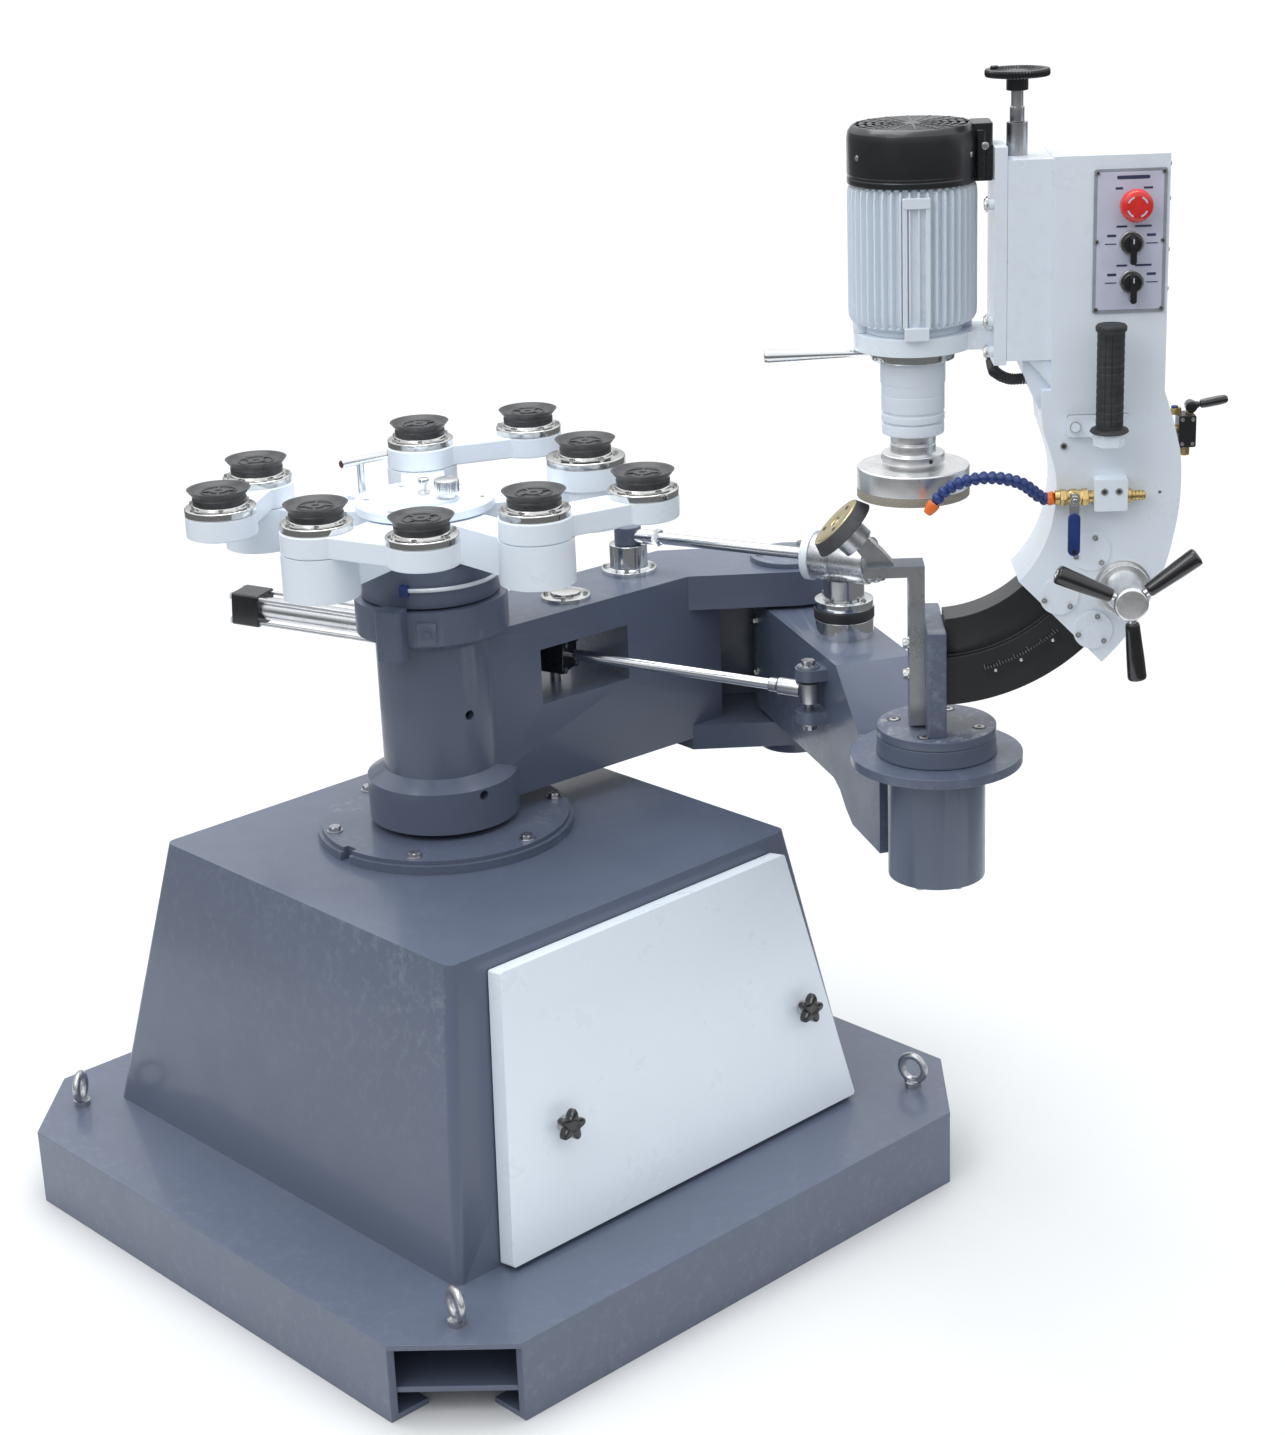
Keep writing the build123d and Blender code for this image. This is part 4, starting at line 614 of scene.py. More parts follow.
# curved back plate that joins the two ears round the forearm's root
elbow_spot = ARM.inverted() @ pivot("elbow", 0)
web_start = Vector((466, 66))
web_outer, web_inner = 72, 64
to_start = web_start - elbow_spot.xy
tangent = degrees(atan2(to_start.y, to_start.x) - acos(web_outer / to_start.length))
bends = [radians(tangent + (12 - tangent) * k / 12) for k in range(13)]
web_outline = [web_start[:],
    *[(elbow_spot.x + web_outer * cos(a), elbow_spot.y + web_outer * sin(a)) for a in bends],
    *[(elbow_spot.x + web_inner * cos(a), elbow_spot.y + web_inner * sin(a)) for a in reversed(bends)],
    (web_start.x - (web_outer - web_inner) * cos(bends[0]),
    web_start.y - (web_outer - web_inner) * sin(bends[0]))]
build("elbow_back_plate", "arm", slab(ARM, web_outline[::-1], 582.1, 762.9), [slate], 1.0)

tie_foot = Vector((ARM.inverted() @ Vector((*pivot("tie_rod_swivel", 0).xy, 0))).to_tuple())
post = at(ARM, tie_foot.x, tie_foot.y)
build("tie_post", "arm", turned(post, [(41, 815.2), (41, 821), (30, 821.6), (28.4, 823), (28.4, 857.6),
    (0, 857.6)], 96, 1.0), [chrome], 0, ("arm_top_fittings",))
port = at(ARM, *(ARM.inverted() @ Vector((220.0, 39.7, 0))).xy)
build("port_cover", "arm", turned(port, [(36, 815.2), (36, 820), (22, 820.4), (22, 825), (14, 826), (0, 826)],
    80, 1.0), [chrome_cups])
build("arm_screws", "arm", merged(fastener_ring(at(post, 0, 0, 821), 35, 4, 45, 3.6, 4),
    fastener_ring(at(port, 0, 0, 820), 29, 4, 45, 3.6, 4)), [zinc])

# ---------------------------------------------------------------- forearm
skin("forearm", [slate], 1.8)
skin("wrist_housing", [slate_scuffed, steel], 1.2, lambda c, n: 1 if c.z < 525 else 0)
seat = at(ELBOW, 211, 5)
build("hub_seat", "forearm", turned(seat, [(42, 757.2, 0), (42, 783, 0), (40.5, 783.4, 1), (43.2, 784.2, 1),
    (43.2, 798.4, 1), (41, 799, 0), (42, 799.6, 0), (42, 811, 0), (20, 811, 0), (20, 790, 0), (0, 790, 0)],
    96, 0.8), [chrome, rubber], 0, ("forearm_post",))
build("hub_seat_screws", "forearm", fastener_ring(at(seat, 0, 0, 811), 36, 4, 30, 3.6, 4), [zinc])
side_bolts = merged(*(hex_bolt(facing(ELBOW, 2, -57.5, z, (0, -1, 0)), 6.5, 6.0) for z in (726, 644)))
build("root_side_bolts", "forearm", side_bolts, [zinc])

# ---------------------------------------------------------------- tie rod and its swivel hub
tie_a = pivot("tie_rod_swivel", 870)
tie_b = pivot("tie_hub_swivel", 870)
TIE = turned_frame(tie_a, (tie_b - tie_a).cross(UP), tie_b - tie_a)
tie_span = (tie_b - tie_a).length
fork = turned(at(post), [(20, 858.2), (20, 884.6), (0, 884.6)], 64, 2.2)
fork_pin = turned(at(post), [(9.9, 838.5), (9.9, 858.4)], 40, 0.4)
rod = turned(TIE, [(11, 15), (11, 46), (8.6, 47), (8.5, 48), (8.5, tie_span - 4.3)], 48, 0.6)
nut = turned(at(TIE, 0, 0, 46), [(13.2, 0), (13.2, 9), (8.6, 9)], 48, 0.8, hexed_beyond(9))
build("tie_rod_fork", "tie_rod", merged(fork, fork_pin), [slate], 0, ("tie_rod",))
build("tie_rod_bar", "tie_rod", merged(rod, nut), [chrome])

HUB = at(TIE, 0, 0, tie_span)
hub_post = turned(at(seat), [(29.5, 811.4), (29.5, 842)], 80, 1.0)
hub_pin = turned(at(seat), [(19.9, 790.6), (19.9, 811.6)], 40, 0.4)
barrel = turned(HUB, [(12.6, -42, 0), (34, -42, 0), (34, -14, 0), (32.8, -13, 0), (32.8, -11, 0),
    (34, -10, 0), (34, 42, 0), (30, 42.5, 0), (29, 41.4, 0), (0, 41.4, 0)], 96, 1.2)
white_disc = turned(HUB, [(12.6, -54, 0), (36, -54, 0), (36, -42.2, 0), (12.6, -42.2, 0)], 96, 1.2)
low = at(HUB, 0, 0, 42)
clamp_at = at(low, *((0, -14) if TIE.to_3x3().col[1].z > 0 else (0, 14)))
clamp = turned(clamp_at, [(17, -0.4), (17, 12), (15.5, 14), (8, 14)], 64, 1.0)
build("hub_stem", "tie_rod_hub", merged(hub_post, hub_pin), [chrome], 0, ("tie_rod_hub",))
build("hub_barrel", "tie_rod_hub", barrel, [tie_metal])
build("hub_clamp", "tie_rod_hub", merged(clamp, socket_screw(at(clamp_at, 0, 0, 13.2), 8.5, 0.9)),
    [tie_metal])
build("hub_disc_ring", "tie_rod_hub", white_disc, [white])

# ---------------------------------------------------------------- air cylinder
trunnion = pivot("air_cylinder_swing", 730.6)
rod_way = -Vector(JOINTS["cylinder_rod_slide"]["axis"])
eye_xy = ELBOW @ Vector((288, -79, 708))
AIR = turned_frame(eye_xy, rod_way.cross(UP), rod_way)
middle = (trunnion - eye_xy).length
front_cap = slab(AIR, rectangle(50, 50, 4), middle - 25, middle + 25)
rear_cap = slab(AIR, rectangle(50, 50, 4), 870, 915)
build("cylinder_caps", "air_cylinder", merged(front_cap, rear_cap), [black_cast], 1.2, ("air_cylinder",))
build("cylinder_tube", "air_cylinder", turned(AIR, [(17.5, middle + 25.1), (17.5, 869.9)], 80, 0.4),
    [tube_metal])
ties = []
for sx in (-19, 19):
    for sy in (-19, 19):
        spot = at(AIR, sx, sy)
        ties.append(turned(spot, [(3, middle - 30), (3, 919)], 20, 0.8))
        for z in (middle - 29, 915.1):
            ties.append(turned(at(spot, 0, 0, z), [(5.4, 0), (5.4, 3.6), (3, 3.6)], 30, 0.4, hexed_beyond(4)))
ties.append(turned(turned_frame((trunnion.x, trunnion.y, 0), (1, 0, 0)), [(8, 677.2), (8, 776.8)], 32, 0.5))
build("cylinder_tie_rods", "air_cylinder", merged(*ties), [steel])
ports = [turned(facing(AIR, 25.1, 0, z, (1, 0, 0)), [(7, 0), (7, 8), (4, 9), (4, 15)], 32, 0.6) for z in (892,
    middle + 12)]
build("cylinder_air_fittings", "air_cylinder", merged(*ports), [blue])

rod_shape = turned(AIR, [(8, 14), (8, 640)], 48, 0.4)
build("cylinder_rod_bar", "cylinder_rod", rod_shape, [chrome], 0, ("cylinder_rod",))
eye_frame = turned_frame((eye_xy.x, eye_xy.y, 0), (1, 0, 0))
eye = turned(eye_frame, [(11, 690, 0), (15, 690, 0), (15, 720, 0), (11, 720, 0)], 64, 1.4)
socket = turned(AIR, [(12, 12), (12, 44), (10, 46), (10, 58), (8, 58.5)], 48, 1.0)
build("rod_eye", "cylinder_rod", merged(eye, socket), [steel])
bolt = [turned(eye_frame, [(6, 651), (6, 747)], 32, 0.3), turned(eye_frame,
    [(0, 741.3), (16, 741.3), (16, 743.8), (0, 743.8)], 48, 0.4), turned(eye_frame,
    [(0, 658.2), (16, 658.2), (16, 660.7), (0, 660.7)], 48, 0.4), hex_bolt(at(eye_frame, 0, 0, 743.8, 10),
    10.5, 8.2)]
build("rod_bolt", "forearm", merged(*bolt), [zinc])
build("rod_bolt_nut", "forearm", merged(turned(at(eye_frame, 0, 0, 650), [(10.5, 0), (10.5, 8.2), (6, 8.2)],
    48, 0.7, hexed_beyond(7))), [zinc])

# ---------------------------------------------------------------- wrist, rail and guide roller
flange = [(32, 546), (32, 699.4), (79.5, 699.6), (79.5, 703), (78.5, 706), (78.5, 723.2), (77, 723.6),
    (77, 724.4), (78.5, 724.8), (78.5, 737), (0, 737)]
build("wrist_flange_rings", "wrist", turned(WRIST, flange, 128, 1.3), [slate_scuffed], 0, ("wrist_flange",))
screws = []
for k in range(4):
    a = radians(70 + 90 * k)
    spot = at(WRIST, 58 * cos(a), 58 * sin(a), 737.05)
    # a flat dark ring round each screw head is painted shade of its counterbore; the screw's recess is
    # painted shade as well
    screws.append(ring(spot, 6.6, 9.6, -0.2, 0.25, 48, 0.05, 1))
    screws.append(socket_screw(spot, 6.6, 0.9, 0, 1))
build("wrist_flange_screws", "wrist", merged(*screws), [zinc, dark_steel])
skin("rail_plate", [slate_scuffed], 1.2)
skin("arc_rail", [black_paint], 1.0)


def arc_strip(inner, outer, start, end, out, thick, steps=40, band=0):
    points, faces = [], []
    for k in range(steps + 1):
        a = radians(start + (end - start) * k / steps)
        for r in (inner, outer):
            for z in (out, out + thick):
                points.append(ARC @ Vector((r * cos(a), r * sin(a), z)))
    for k in range(steps):
        i = 4 * k
        for a, b in ((0, 1), (1, 3), (3, 2), (2, 0)):
            faces.append((i + a, i + b, i + 4 + b, i + 4 + a))
    faces += [(0, 2, 3, 1), (4 * steps, 4 * steps + 1, 4 * steps + 3, 4 * steps + 2)]
    return points, faces, [band] * len(faces)


marks = [arc_strip(229, 247, -75, -49, 37, 0.8, 30, 0)]
for k in range(27):
    a = -75 + k
    marks.append(arc_strip(229 if k % 5 else 226, 233, a - 0.07, a + 0.07, 37.8, 0.25, 1, 1))
build("angle_scale", "wrist", merged(*marks), [black_cast, steel])
dots = merged(*(turned(facing(ARC, 238 * cos(radians(a)), 238 * sin(radians(a)), 37.8, (0, 0, 1)),
    [(2.2, 0), (2.2, 1.0), (0, 1.6)], 20, 0.3) for a in (-72, -63.5, -52)))
build("angle_scale_rivets", "wrist", dots, [zinc])


def foot_color(c, n):
    local = WRIST.inverted() @ c
    return 1 if local.z > 958.6 or (local.z < 942.5 and local.x < -37) else 0


skin("roller_bracket", [slate_scuffed, steel], 0.8, foot_color)
build("bracket_bolts", "wrist", merged(*(hex_bolt(facing(ARC, -36, y, 0, (-1, 0, 0)), 7.4,
    7.4) for y in (-199, -241))), [zinc])
ROLLER = turned_frame(roller_centre, (0, 1, 0), roller_axis)
tyre = turned(ROLLER, [(33, 0.6, 1), (37.5, 0, 0), (38.5, 0.4, 0), (45, 17, 0), (44.4, 18, 0), (8.2, 18, 0)],
    96, 0.8)
face = turned(ROLLER, [(0, -0.2, 0), (4, -0.2, 0), (4.4, 0.6, 0), (7.5, 0.6, 0), (8, -0.3, 0), (33, -0.3, 0),
    (34, 0.8, 0)], 96, 0.5)
face_screws = fastener_ring(turned_frame(roller_centre, (0, 1, 0), -roller_axis), 24, 3, 15, 3.4, 0.9)
build("roller_tyre_ring", "guide_roller", tyre, [roller_rubber, roller_brass], 0, ("guide_roller",))
build("roller_face_disc", "guide_roller", face, [roller_brass])
build("roller_face_screws", "guide_roller", face_screws, [dark_steel])

# ---------------------------------------------------------------- head casing
skin("head_casing", [white], 1.6)
skin("casing_covers", [white, brass, steel], 0.5, lambda c, n: 1 if abs((ARC.inverted() @ c).z) < 40 else 0)
boss = at(ARC, 232, -115)
build("clamp_boss_ring", "head", merged(ring(at(boss, 0, 0, 0), 21, 33, 50.2, 66, 96, 1.2),
    ring(at(boss, 0, 0, 0), 20, 36, 50.1, 53, 96, 0.6)), [wheel_metal])
covers = []
for x, y in ((191, -67), (152, -124), (195.5, -171)):
    for k in range(3):
        a = radians(75 + 120 * k)
        covers.append(socket_screw(at(ARC, x + 19.5 * cos(a), y + 19.5 * sin(a), 53), 3.6, 3.4, 0, 1))
build("cover_screws", "head", merged(*covers), [zinc, dark_steel])
joint_dots = [socket_screw(at(ARC, 155, 71, 50), 4.4, 3.5, 0, 1), socket_screw(at(ARC, 276, 8, 50), 2.0, 1.0,
    0, 1)]
build("casing_screw", "head", merged(*joint_dots), [zinc, dark_steel])
side_screws = merged(*(turned(facing(ARC, 279.2, y, 36, (1, 0, 0)), [(3.6, 0), (3.6, 1.5), (2, 3), (0, 3.2)],
    28, 0.4) for y in (414, 372, 310, 262)))
build("casing_side_screws", "head", side_screws, [zinc])

# control panel
panel = at(ARC, 231, 324, 50)
plate = slab(panel, rectangle(88, 175, 3), 0, 2.4, 0)
sheet_part = slab(panel, rectangle(80, 167, 2), 2.4, 3.0, 1)
build("panel_plate", "head", merged(plate, sheet_part), [film_edge, film], 0.3, ("control_panel",))
corner_screws = []
for sx in (-40, 40):
    for y in (-83, 0, 83):
        corner_screws.append(socket_screw(at(panel, sx, y, 2.5), 3.0, 2.0, 0, 1))
build("panel_screws", "head", merged(*corner_screws), [zinc, dark_steel])
knobs = {"arm_selector": (233, 322), "motor_selector": (234, 274.5)}
bezels = []
for x, y in knobs.values():
    bezels.append(ring(at(ARC, x, y, 53), 12.2, 15, 0, 6, 72, 0.9))
    bezels.append(turned(at(ARC, x, y, 53), [(12.2, 4.8), (0, 4.8)], 48, 0))
bezels.append(turned(at(ARC, 236, 369, 53), [(13, 0), (13, 6), (0, 6)], 72, 0.8))
bodies_behind = [turned(at(ARC, x, y, 20), [(0, 0), (11, 0), (11, 30.2)], 32, 0.6) for x,
    y in (*knobs.values(), (236, 369))]
build("panel_bezels", "head", merged(*bezels), [zinc])
build("panel_switch_bodies", "head", merged(*bodies_behind), [gloss_black])
prints = []
for x, y in knobs.values():
    for side in (-1, 1):
        prints.append(slab(at(ARC, x + side * 24, y + 9, 53), rectangle(11, 3.2), 0, 0.15))
        prints.append(slab(at(ARC, x + side * 25, y - 1, 53), rectangle(14, 1.4), 0, 0.15))
    prints.append(slab(at(ARC, x - 12, y + 20, 53), rectangle(13, 2.6), 0, 0.15))
    prints.append(slab(at(ARC, x + 14, y + 20, 53), rectangle(20, 2.6), 0, 0.15))
prints.append(slab(at(ARC, 217, 388, 53), rectangle(9, 3.0), 0, 0.15))
prints.append(slab(at(ARC, 252, 388, 53), rectangle(11, 2.6), 0, 0.15))
prints.append(slab(at(ARC, 234, 401, 53), rectangle(40, 4.5, 2.0), 0, 0.15))
build("panel_print", "head", merged(*prints), [ink])

stop = at(ARC, 236, 369)
stop_shape = turned(stop, [(5, 37), (5, 58), (9, 58.5), (9, 62.6), (19.2, 63.4), (20, 65.5), (20, 72),
    (18, 77), (13, 79.2), (0, 79.4)], 96, 1.4)
build("stop_head", "estop_button", stop_shape, [red], 0, ("estop_button",))
arrows = []
for k in range(4):
    start = 20 + 90 * k
    outline = []
    for j in range(9):
        a = radians(start + 46 * j / 8)
        outline.append((13.2 * cos(a), 13.2 * sin(a)))
    for j in range(8, -1, -1):
        a = radians(start + 46 * j / 8)
        outline.append((11.2 * cos(a), 11.2 * sin(a)))
    arrows.append(slab(at(stop, 0, 0, 0), outline, 78.2, 79.5))
build("stop_turn_marks", "estop_button", merged(*arrows), [film])

for name, (x, y) in knobs.items():
    spot = at(ARC, x, y)
    cap = turned(spot, [(5, 37), (5, 59), (12, 59.4), (12, 63.8), (11, 65.2), (0, 65.4)], 72, 0.6)
    bar = slab(at(spot, 0, -7), rectangle(8, 33, 3.2), 60, 75)
    build(name + "_knob", name, merged(cap, bar), [gloss_black], 1.2, (name,))
    build(name + "_line", name, slab(at(spot, 0, 5), rectangle(1.6, 6.0), 74.9, 75.3), [film])

# grip
skin("grip_bracket", [white, steel], 1.6, lambda c, n: 1 if (WRIST.inverted() @ c).z > 1145 else 0)
build("grip_bracket_screw", "head", socket_screw(at(ARC, 168, 97, 58), 6.8, 5.5, 0, 1), [zinc, dark_steel])
GRIP = at(WRIST, 205, -95)


def ribs(a, r, z):
    if not 1153 < z < 1268 or r < 14:
        return 1.0
    row = abs(((z - 1153) / 9.6) % 1.0 - 0.5)
    column = abs((a / (2 * pi) * 12) % 1.0 - 0.5)
    return 1.0 - 0.055 * max(0.0, (row - 0.38) / 0.12) - 0.05 * max(0.0, (column - 0.40) / 0.10)


steps = [(16.8, 1150 + 118 * k / 96) for k in range(97)]
grip = turned(GRIP, [(6, 1144.2), (22, 1144.2), (24, 1146), (22.5, 1149), (17.5, 1150), *steps, (17, 1269),
    (19, 1271), (19.2, 1275.5), (17.5, 1278), (0, 1278)], 144, 0.0, ribs)
build("grip_sleeve", "head", grip, [rubber], 0, ("assist_grip",), sharp=50)

# water supply
WATER = at(ARC, 0, 8, 63)
FLOW = facing(ARC, 0, 8, 63, (1, 0, 0))
block = slab(at(ARC, 212.5, 11, 50), rectangle(42, 42, 3), 0, 22)
build("water_block", "head", block, [white], 1.2, ("water_manifold",))
build("water_block_screws", "head", merged(*(socket_screw(at(ARC, x, 16, 72), 4.6, 1.4, 0, 1) for x in (204,
    222))), [zinc, dark_steel])


barb = [(9, 233.6), (9, 238)] + [p for k in range(4) for p in ((5.6, 238.4 + 4.4 * k),
    (7.0, 239.4 + 4.4 * k))]
barb += [(5.6, 255), (4.4, 256), (3.4, 256), (3.4, 250)]
valve = [(5.5, 143), (9.0, 143.2), (9.2, 149.5), (11, 150), (11, 157), (9.6, 158), (9.6, 161), (10.9, 163),
    (10.9, 171), (9.6, 173), (9.6, 176), (11.2, 177), (11.2, 184.2), (8.2, 184.8), (8.2, 191.4)]
build("water_fittings", "head", merged(turned(FLOW, barb, 60, 0.5), turned(FLOW, valve, 72, 0.6,
    hexed_beyond(9.4)), turned(at(WATER, 166, 0), [(8, 2), (8, 11), (6.2, 12), (6.2, 14)], 48, 0.5)), [brass])
lever = at(WATER, 166, 0)
neck = slab(lever, [(-6, 8), (6, 8), (6.4, -12), (5.4, -22), (-5.4, -22), (-6.4, -12)], 14.4, 16.6)
nut_top = turned(lever, [(6.6, 16.6), (6.6, 21), (3, 21), (3, 22.5), (0, 22.5)], 48, 0.4, hexed_beyond(5))
stem = turned(lever, [(3.4, 1.5), (3.4, 16)], 24, 0.3)
build("lever_neck", "water_valve_lever", merged(neck, nut_top, stem), [chrome], 0.4, ("water_valve_lever",))
sleeve = slab(at(lever, 0, -44), rectangle(15.5, 56, 7.6, steps=10), 13.8, 19.0)
build("lever_sleeve", "water_valve_lever", sleeve, [blue], 1.8, segments=3)
# the hole in the sleeve is a thin black disc laid on top: painted shade standing for the hole
build("lever_hole_shade", "water_valve_lever", turned(at(lever, 0, -66, 18.9), [(3.2, 0), (3.2, 0.3), (0, 0.3)], 24,
    0.1), [black_cast])

# jointed coolant hose
hose_points = [(143, 8, 63), (128, 8, 63), (96, 34, 82), (51, 44, 93), (8, 33, 97), (-18, 3, 97)]
hose_line = smooth_line([ARC @ Vector(p) for p in hose_points], 24)
lengths = [0.0]
for a, b in zip(hose_line, hose_line[1:]):
    lengths.append(lengths[-1] + (b - a).length)


def along_hose(distance):
    for i in range(len(lengths) - 1):
        if lengths[i + 1] >= distance:
            t = (distance - lengths[i]) / (lengths[i + 1] - lengths[i])
            return hose_line[i].lerp(hose_line[i + 1], t), (hose_line[i + 1] - hose_line[i]).normalized()
    return hose_line[-1], (hose_line[-1] - hose_line[-2]).normalized()


links, tips = [], []
pitch = 10.6
count = int((lengths[-1] - 24) / pitch)
for k in range(count):
    spot, way = along_hose(9 + pitch * (k + 0.5))
    link_frame = turned_frame(spot, way.orthogonal(), way)
    links.append(turned(link_frame, [(5.2, -5.6), (7.6, -4.4), (8.3, -2.2), (8.3, -0.4), (7.2, 1.6),
        (5.4, 4.2), (4.9, 6.0)], 32, 0.5))
spot, way = along_hose(4)
tips.append(turned(turned_frame(spot, way.orthogonal(), way), [(6.5, -4), (8.4, -3.4), (8.4, 4), (7.0, 6.4)],
    40, 0.6))
spot, way = along_hose(lengths[-1] - 8)
nozzle_frame = turned_frame(spot, way.orthogonal(), way)
tips.append(turned(nozzle_frame, [(6.8, -7), (8.2, -5.5), (8.0, 0), (5.6, 8), (5.2, 9.6), (3.9, 9.6),
    (3.7, 4)], 40, 0.5))
build("hose_links", "head", merged(*links), [blue], 0, ("coolant_hose",))
build("hose_nozzles", "head", merged(*tips), [orange])

# hand valve on the casing's outer edge
valve_box = slab(at(ARC, 314.5, 75.5, -15), rectangle(22, 41, 2.5), 0, 30)
bolt_faces = [socket_screw(at(ARC, x, y, 15), 2.6, 1.6) for x in (308, 321) for y in (60, 91)]
build("valve_block", "head", valve_box, [black_cast], 1.0, ("rear_valve",))
build("valve_block_screws", "head", merged(*bolt_faces), [zinc])
brass_parts = merged(turned(facing(ARC, 281, 76, 0, (1, 0, 0)), [(6, 0), (6, 23.8)], 32, 0.5),
    turned(at(WRIST, 314, 0, 1047 + 42), [(4.5, 0), (6, 1), (6, 13.2)], 36, 0.6),
    turned(at(WRIST, 300, 0, 1047 + 95.2), [(5, 0), (5, 7.4), (3.6, 8.6), (0, 8.8)], 36, 0.6),
    slab(at(WRIST, 304, 0, 1047 + 95.2), rectangle(8, 9, 1), 0, 8.4), turned(at(WRIST, 319, 0, 1047 + 95),
    [(5, 0.9), (5, 2.1)], 36, 0.2))
build("valve_air_line", "head", turned(at(WRIST, 300, 0, 1047 + 100), [(3.6, 3), (4.4, 3.4), (4.4, 5.6),
    (3, 6.4)], 32, 0.4), [blue])
build("valve_fittings", "head", brass_parts, [brass])
lever_way = Vector((cos(radians(10)), sin(radians(10)), 0))
LEVER = facing(ARC, 320, 105, 0, lever_way)
boot = turned(LEVER, [(0, -7.4), (4, -6.8), (7.4, -3), (7.5, 1), (5.6, 3.4), (6.6, 5), (4.4, 7), (5, 8.4),
    (3.6, 10)], 48, 0.6)
boot = merged(boot, turned(facing(ARC, 320, 105, -8, (0, 0, 1)), [(6.4, 0), (7.4, 0.6), (7.4, 15.4),
    (6.4, 16)], 40, 0.3))
handle = turned(LEVER, [(3.5, 9), (3.5, 12), (5.4, 12.4), (6.0, 20), (6.0, 36), (5.4, 44), (3, 47), (0, 47)],
    48, 1.0)
build("rear_lever_grip", "rear_valve_lever", merged(boot, handle), [gloss_black], 0, ("rear_valve_lever",))

# clamp wheel with three grips
hub = turned(boss, [(8, 42.2), (8, 62.2), (26, 62.4), (26, 70), (22, 84), (20.5, 104), (22, 112), (22, 128),
    (19.5, 132), (0, 132)], 96, 1.6)
build("clamp_hub", "tilt_handwheel", hub, [wheel_metal], 0, ("tilt_handwheel",))
arms, sleeves, ends = [], [], []
for k in range(3):
    a = radians(-84 + 120 * k)
    way = Vector((cos(a), sin(a), 0))
    spot = facing(boss, 12 * cos(a), 12 * sin(a), 122, way)
    arms.append(turned(spot, [(5, 4), (5, 16)], 24, 0.3))
    sleeves.append(turned(spot, [(5, 13.6), (8.4, 14), (9.2, 18), (9.4, 24), (11.4, 60), (12.2, 84),
        (11.6, 88), (7, 89.6), (6.4, 88.4), (0, 88.4)], 64, 1.6))
    ends.append(turned(spot, [(5.6, 88.3), (5.6, 89.4), (3, 89.6), (2.4, 88.8), (0, 88.8)], 32, 0.3))
build("clamp_arms", "tilt_handwheel", merged(*arms, *ends), [chrome])
build("clamp_grips", "tilt_handwheel", merged(*sleeves), [gloss_black])

# ---------------------------------------------------------------- slide, carriage, motor, spindle
def slide_color(c, n):
    local = ARC.inverted() @ c
    if local.z < -45.4 or (local.y < 176 and local.x < 104.6):
        return 1
    return 2 if local.y > 425.5 else 0


skin("slide_base", [white, rubber, steel], 1.2, slide_color)
conduit = smooth_line([ARC @ Vector(p) for p in ((114, 147, 0), (92, 147, -1), (77, 152, -18), (75, 159, -50),
    (79, 182, -60), (92, 202, -59), (100, 205, -46))], 26)
build("cable_conduit", "head", pipe(conduit, lambda share: 6.9 + 0.55 * sin(share * 2 * pi * 38), 20),
    [rubber], sharp=60)
SCREW = at(WRIST, 99)
screw_shape = turned(SCREW, [(7, 1244), (7, 1512), (9, 1512.5), (9, 1530), (7.5, 1531), (7.5, 1550)], 48, 0.4)
build("screw_shaft", "lead_screw", screw_shape, [steel], 0, ("lead_screw",))


def knurl(a, r, z):
    return 1 + 0.02 * cos(60 * a) if r > 30 else 1.0


wheel_top = turned(SCREW, [(7.5, 1549.6), (13.5, 1550), (13.5, 1565), (20, 1566), (30, 1566), (38, 1566.6),
    (39, 1569), (39, 1573), (38, 1575.6), (33, 1576), (30, 1572), (16, 1571), (13, 1573.5), (8, 1574),
    (0, 1574)], 240, 0.9, knurl)
build("screw_wheel", "lead_screw", wheel_top, [black_cast])
crank = turned(at(SCREW, -28, 0, 1575.4), [(3.4, 0), (5, 0.6), (5, 3.4), (4.2, 4.6), (0, 4.6)], 32, 0.6)
build("screw_wheel_peg", "lead_screw", crank, [gloss_black])

skin("slide_carriage", [white, zinc], 1.4)
carriage_bolts = merged(*(hex_bolt(facing(ARC, 60, y, 36, (-1, 0, 0)), 7.6, 4.0) for y in (372, 228, 190)))
build("carriage_bolt_heads", "carriage", carriage_bolts, [zinc])


def fins(a, r, z):
    if r < 76:
        return 1.0
    wave = (a / (2 * pi) * 44 + 0.25) % 1.0
    rise = min(1.0, max(0.0, (abs(wave - 0.5) - 0.12) / 0.10))
    return 1.0 - 0.105 * rise


body_rows = [(60, 1262.2), (62, 1262.4), (62, 1268), (66, 1272), (73, 1274), (77, 1277), (79.6, 1282),
    (80, 1290), (80, 1400), (80, 1430), (79, 1440), (74, 1444.6), (70, 1444.8)]
build("motor_finned_body", "carriage", turned(MOTOR, body_rows, 528, 0.0, fins), [white_motor], 0,
    ("motor_body",), sharp=40)
frame_bars = []
side_on = turned_frame(WRIST @ Vector((-29, -70, 0)), WRIST.to_3x3() @ Vector((1, 0, 0)),
    WRIST.to_3x3() @ Vector((0, -1, 0)))
sign = 1 if side_on.to_3x3().col[1].z > 0 else -1
for x, z, w, t, depth in ((-14, 1351, 6, 150, 10.5), (14, 1351, 6, 150, 10.5), (0, 1429, 34, 13, 12),
    (0, 1270, 30, 16, 13)):
    frame_bars.append(slab(side_on, rectangle(w, t, 2.4, x, sign * z), 0, depth))
frame_bars.append(slab(side_on, rectangle(24, 150, 1.0, 0, sign * 1351), 0, 5.0))
build("motor_pad_frame", "carriage", merged(*frame_bars), [white_motor], 1.0)
lugs, studs = [], []
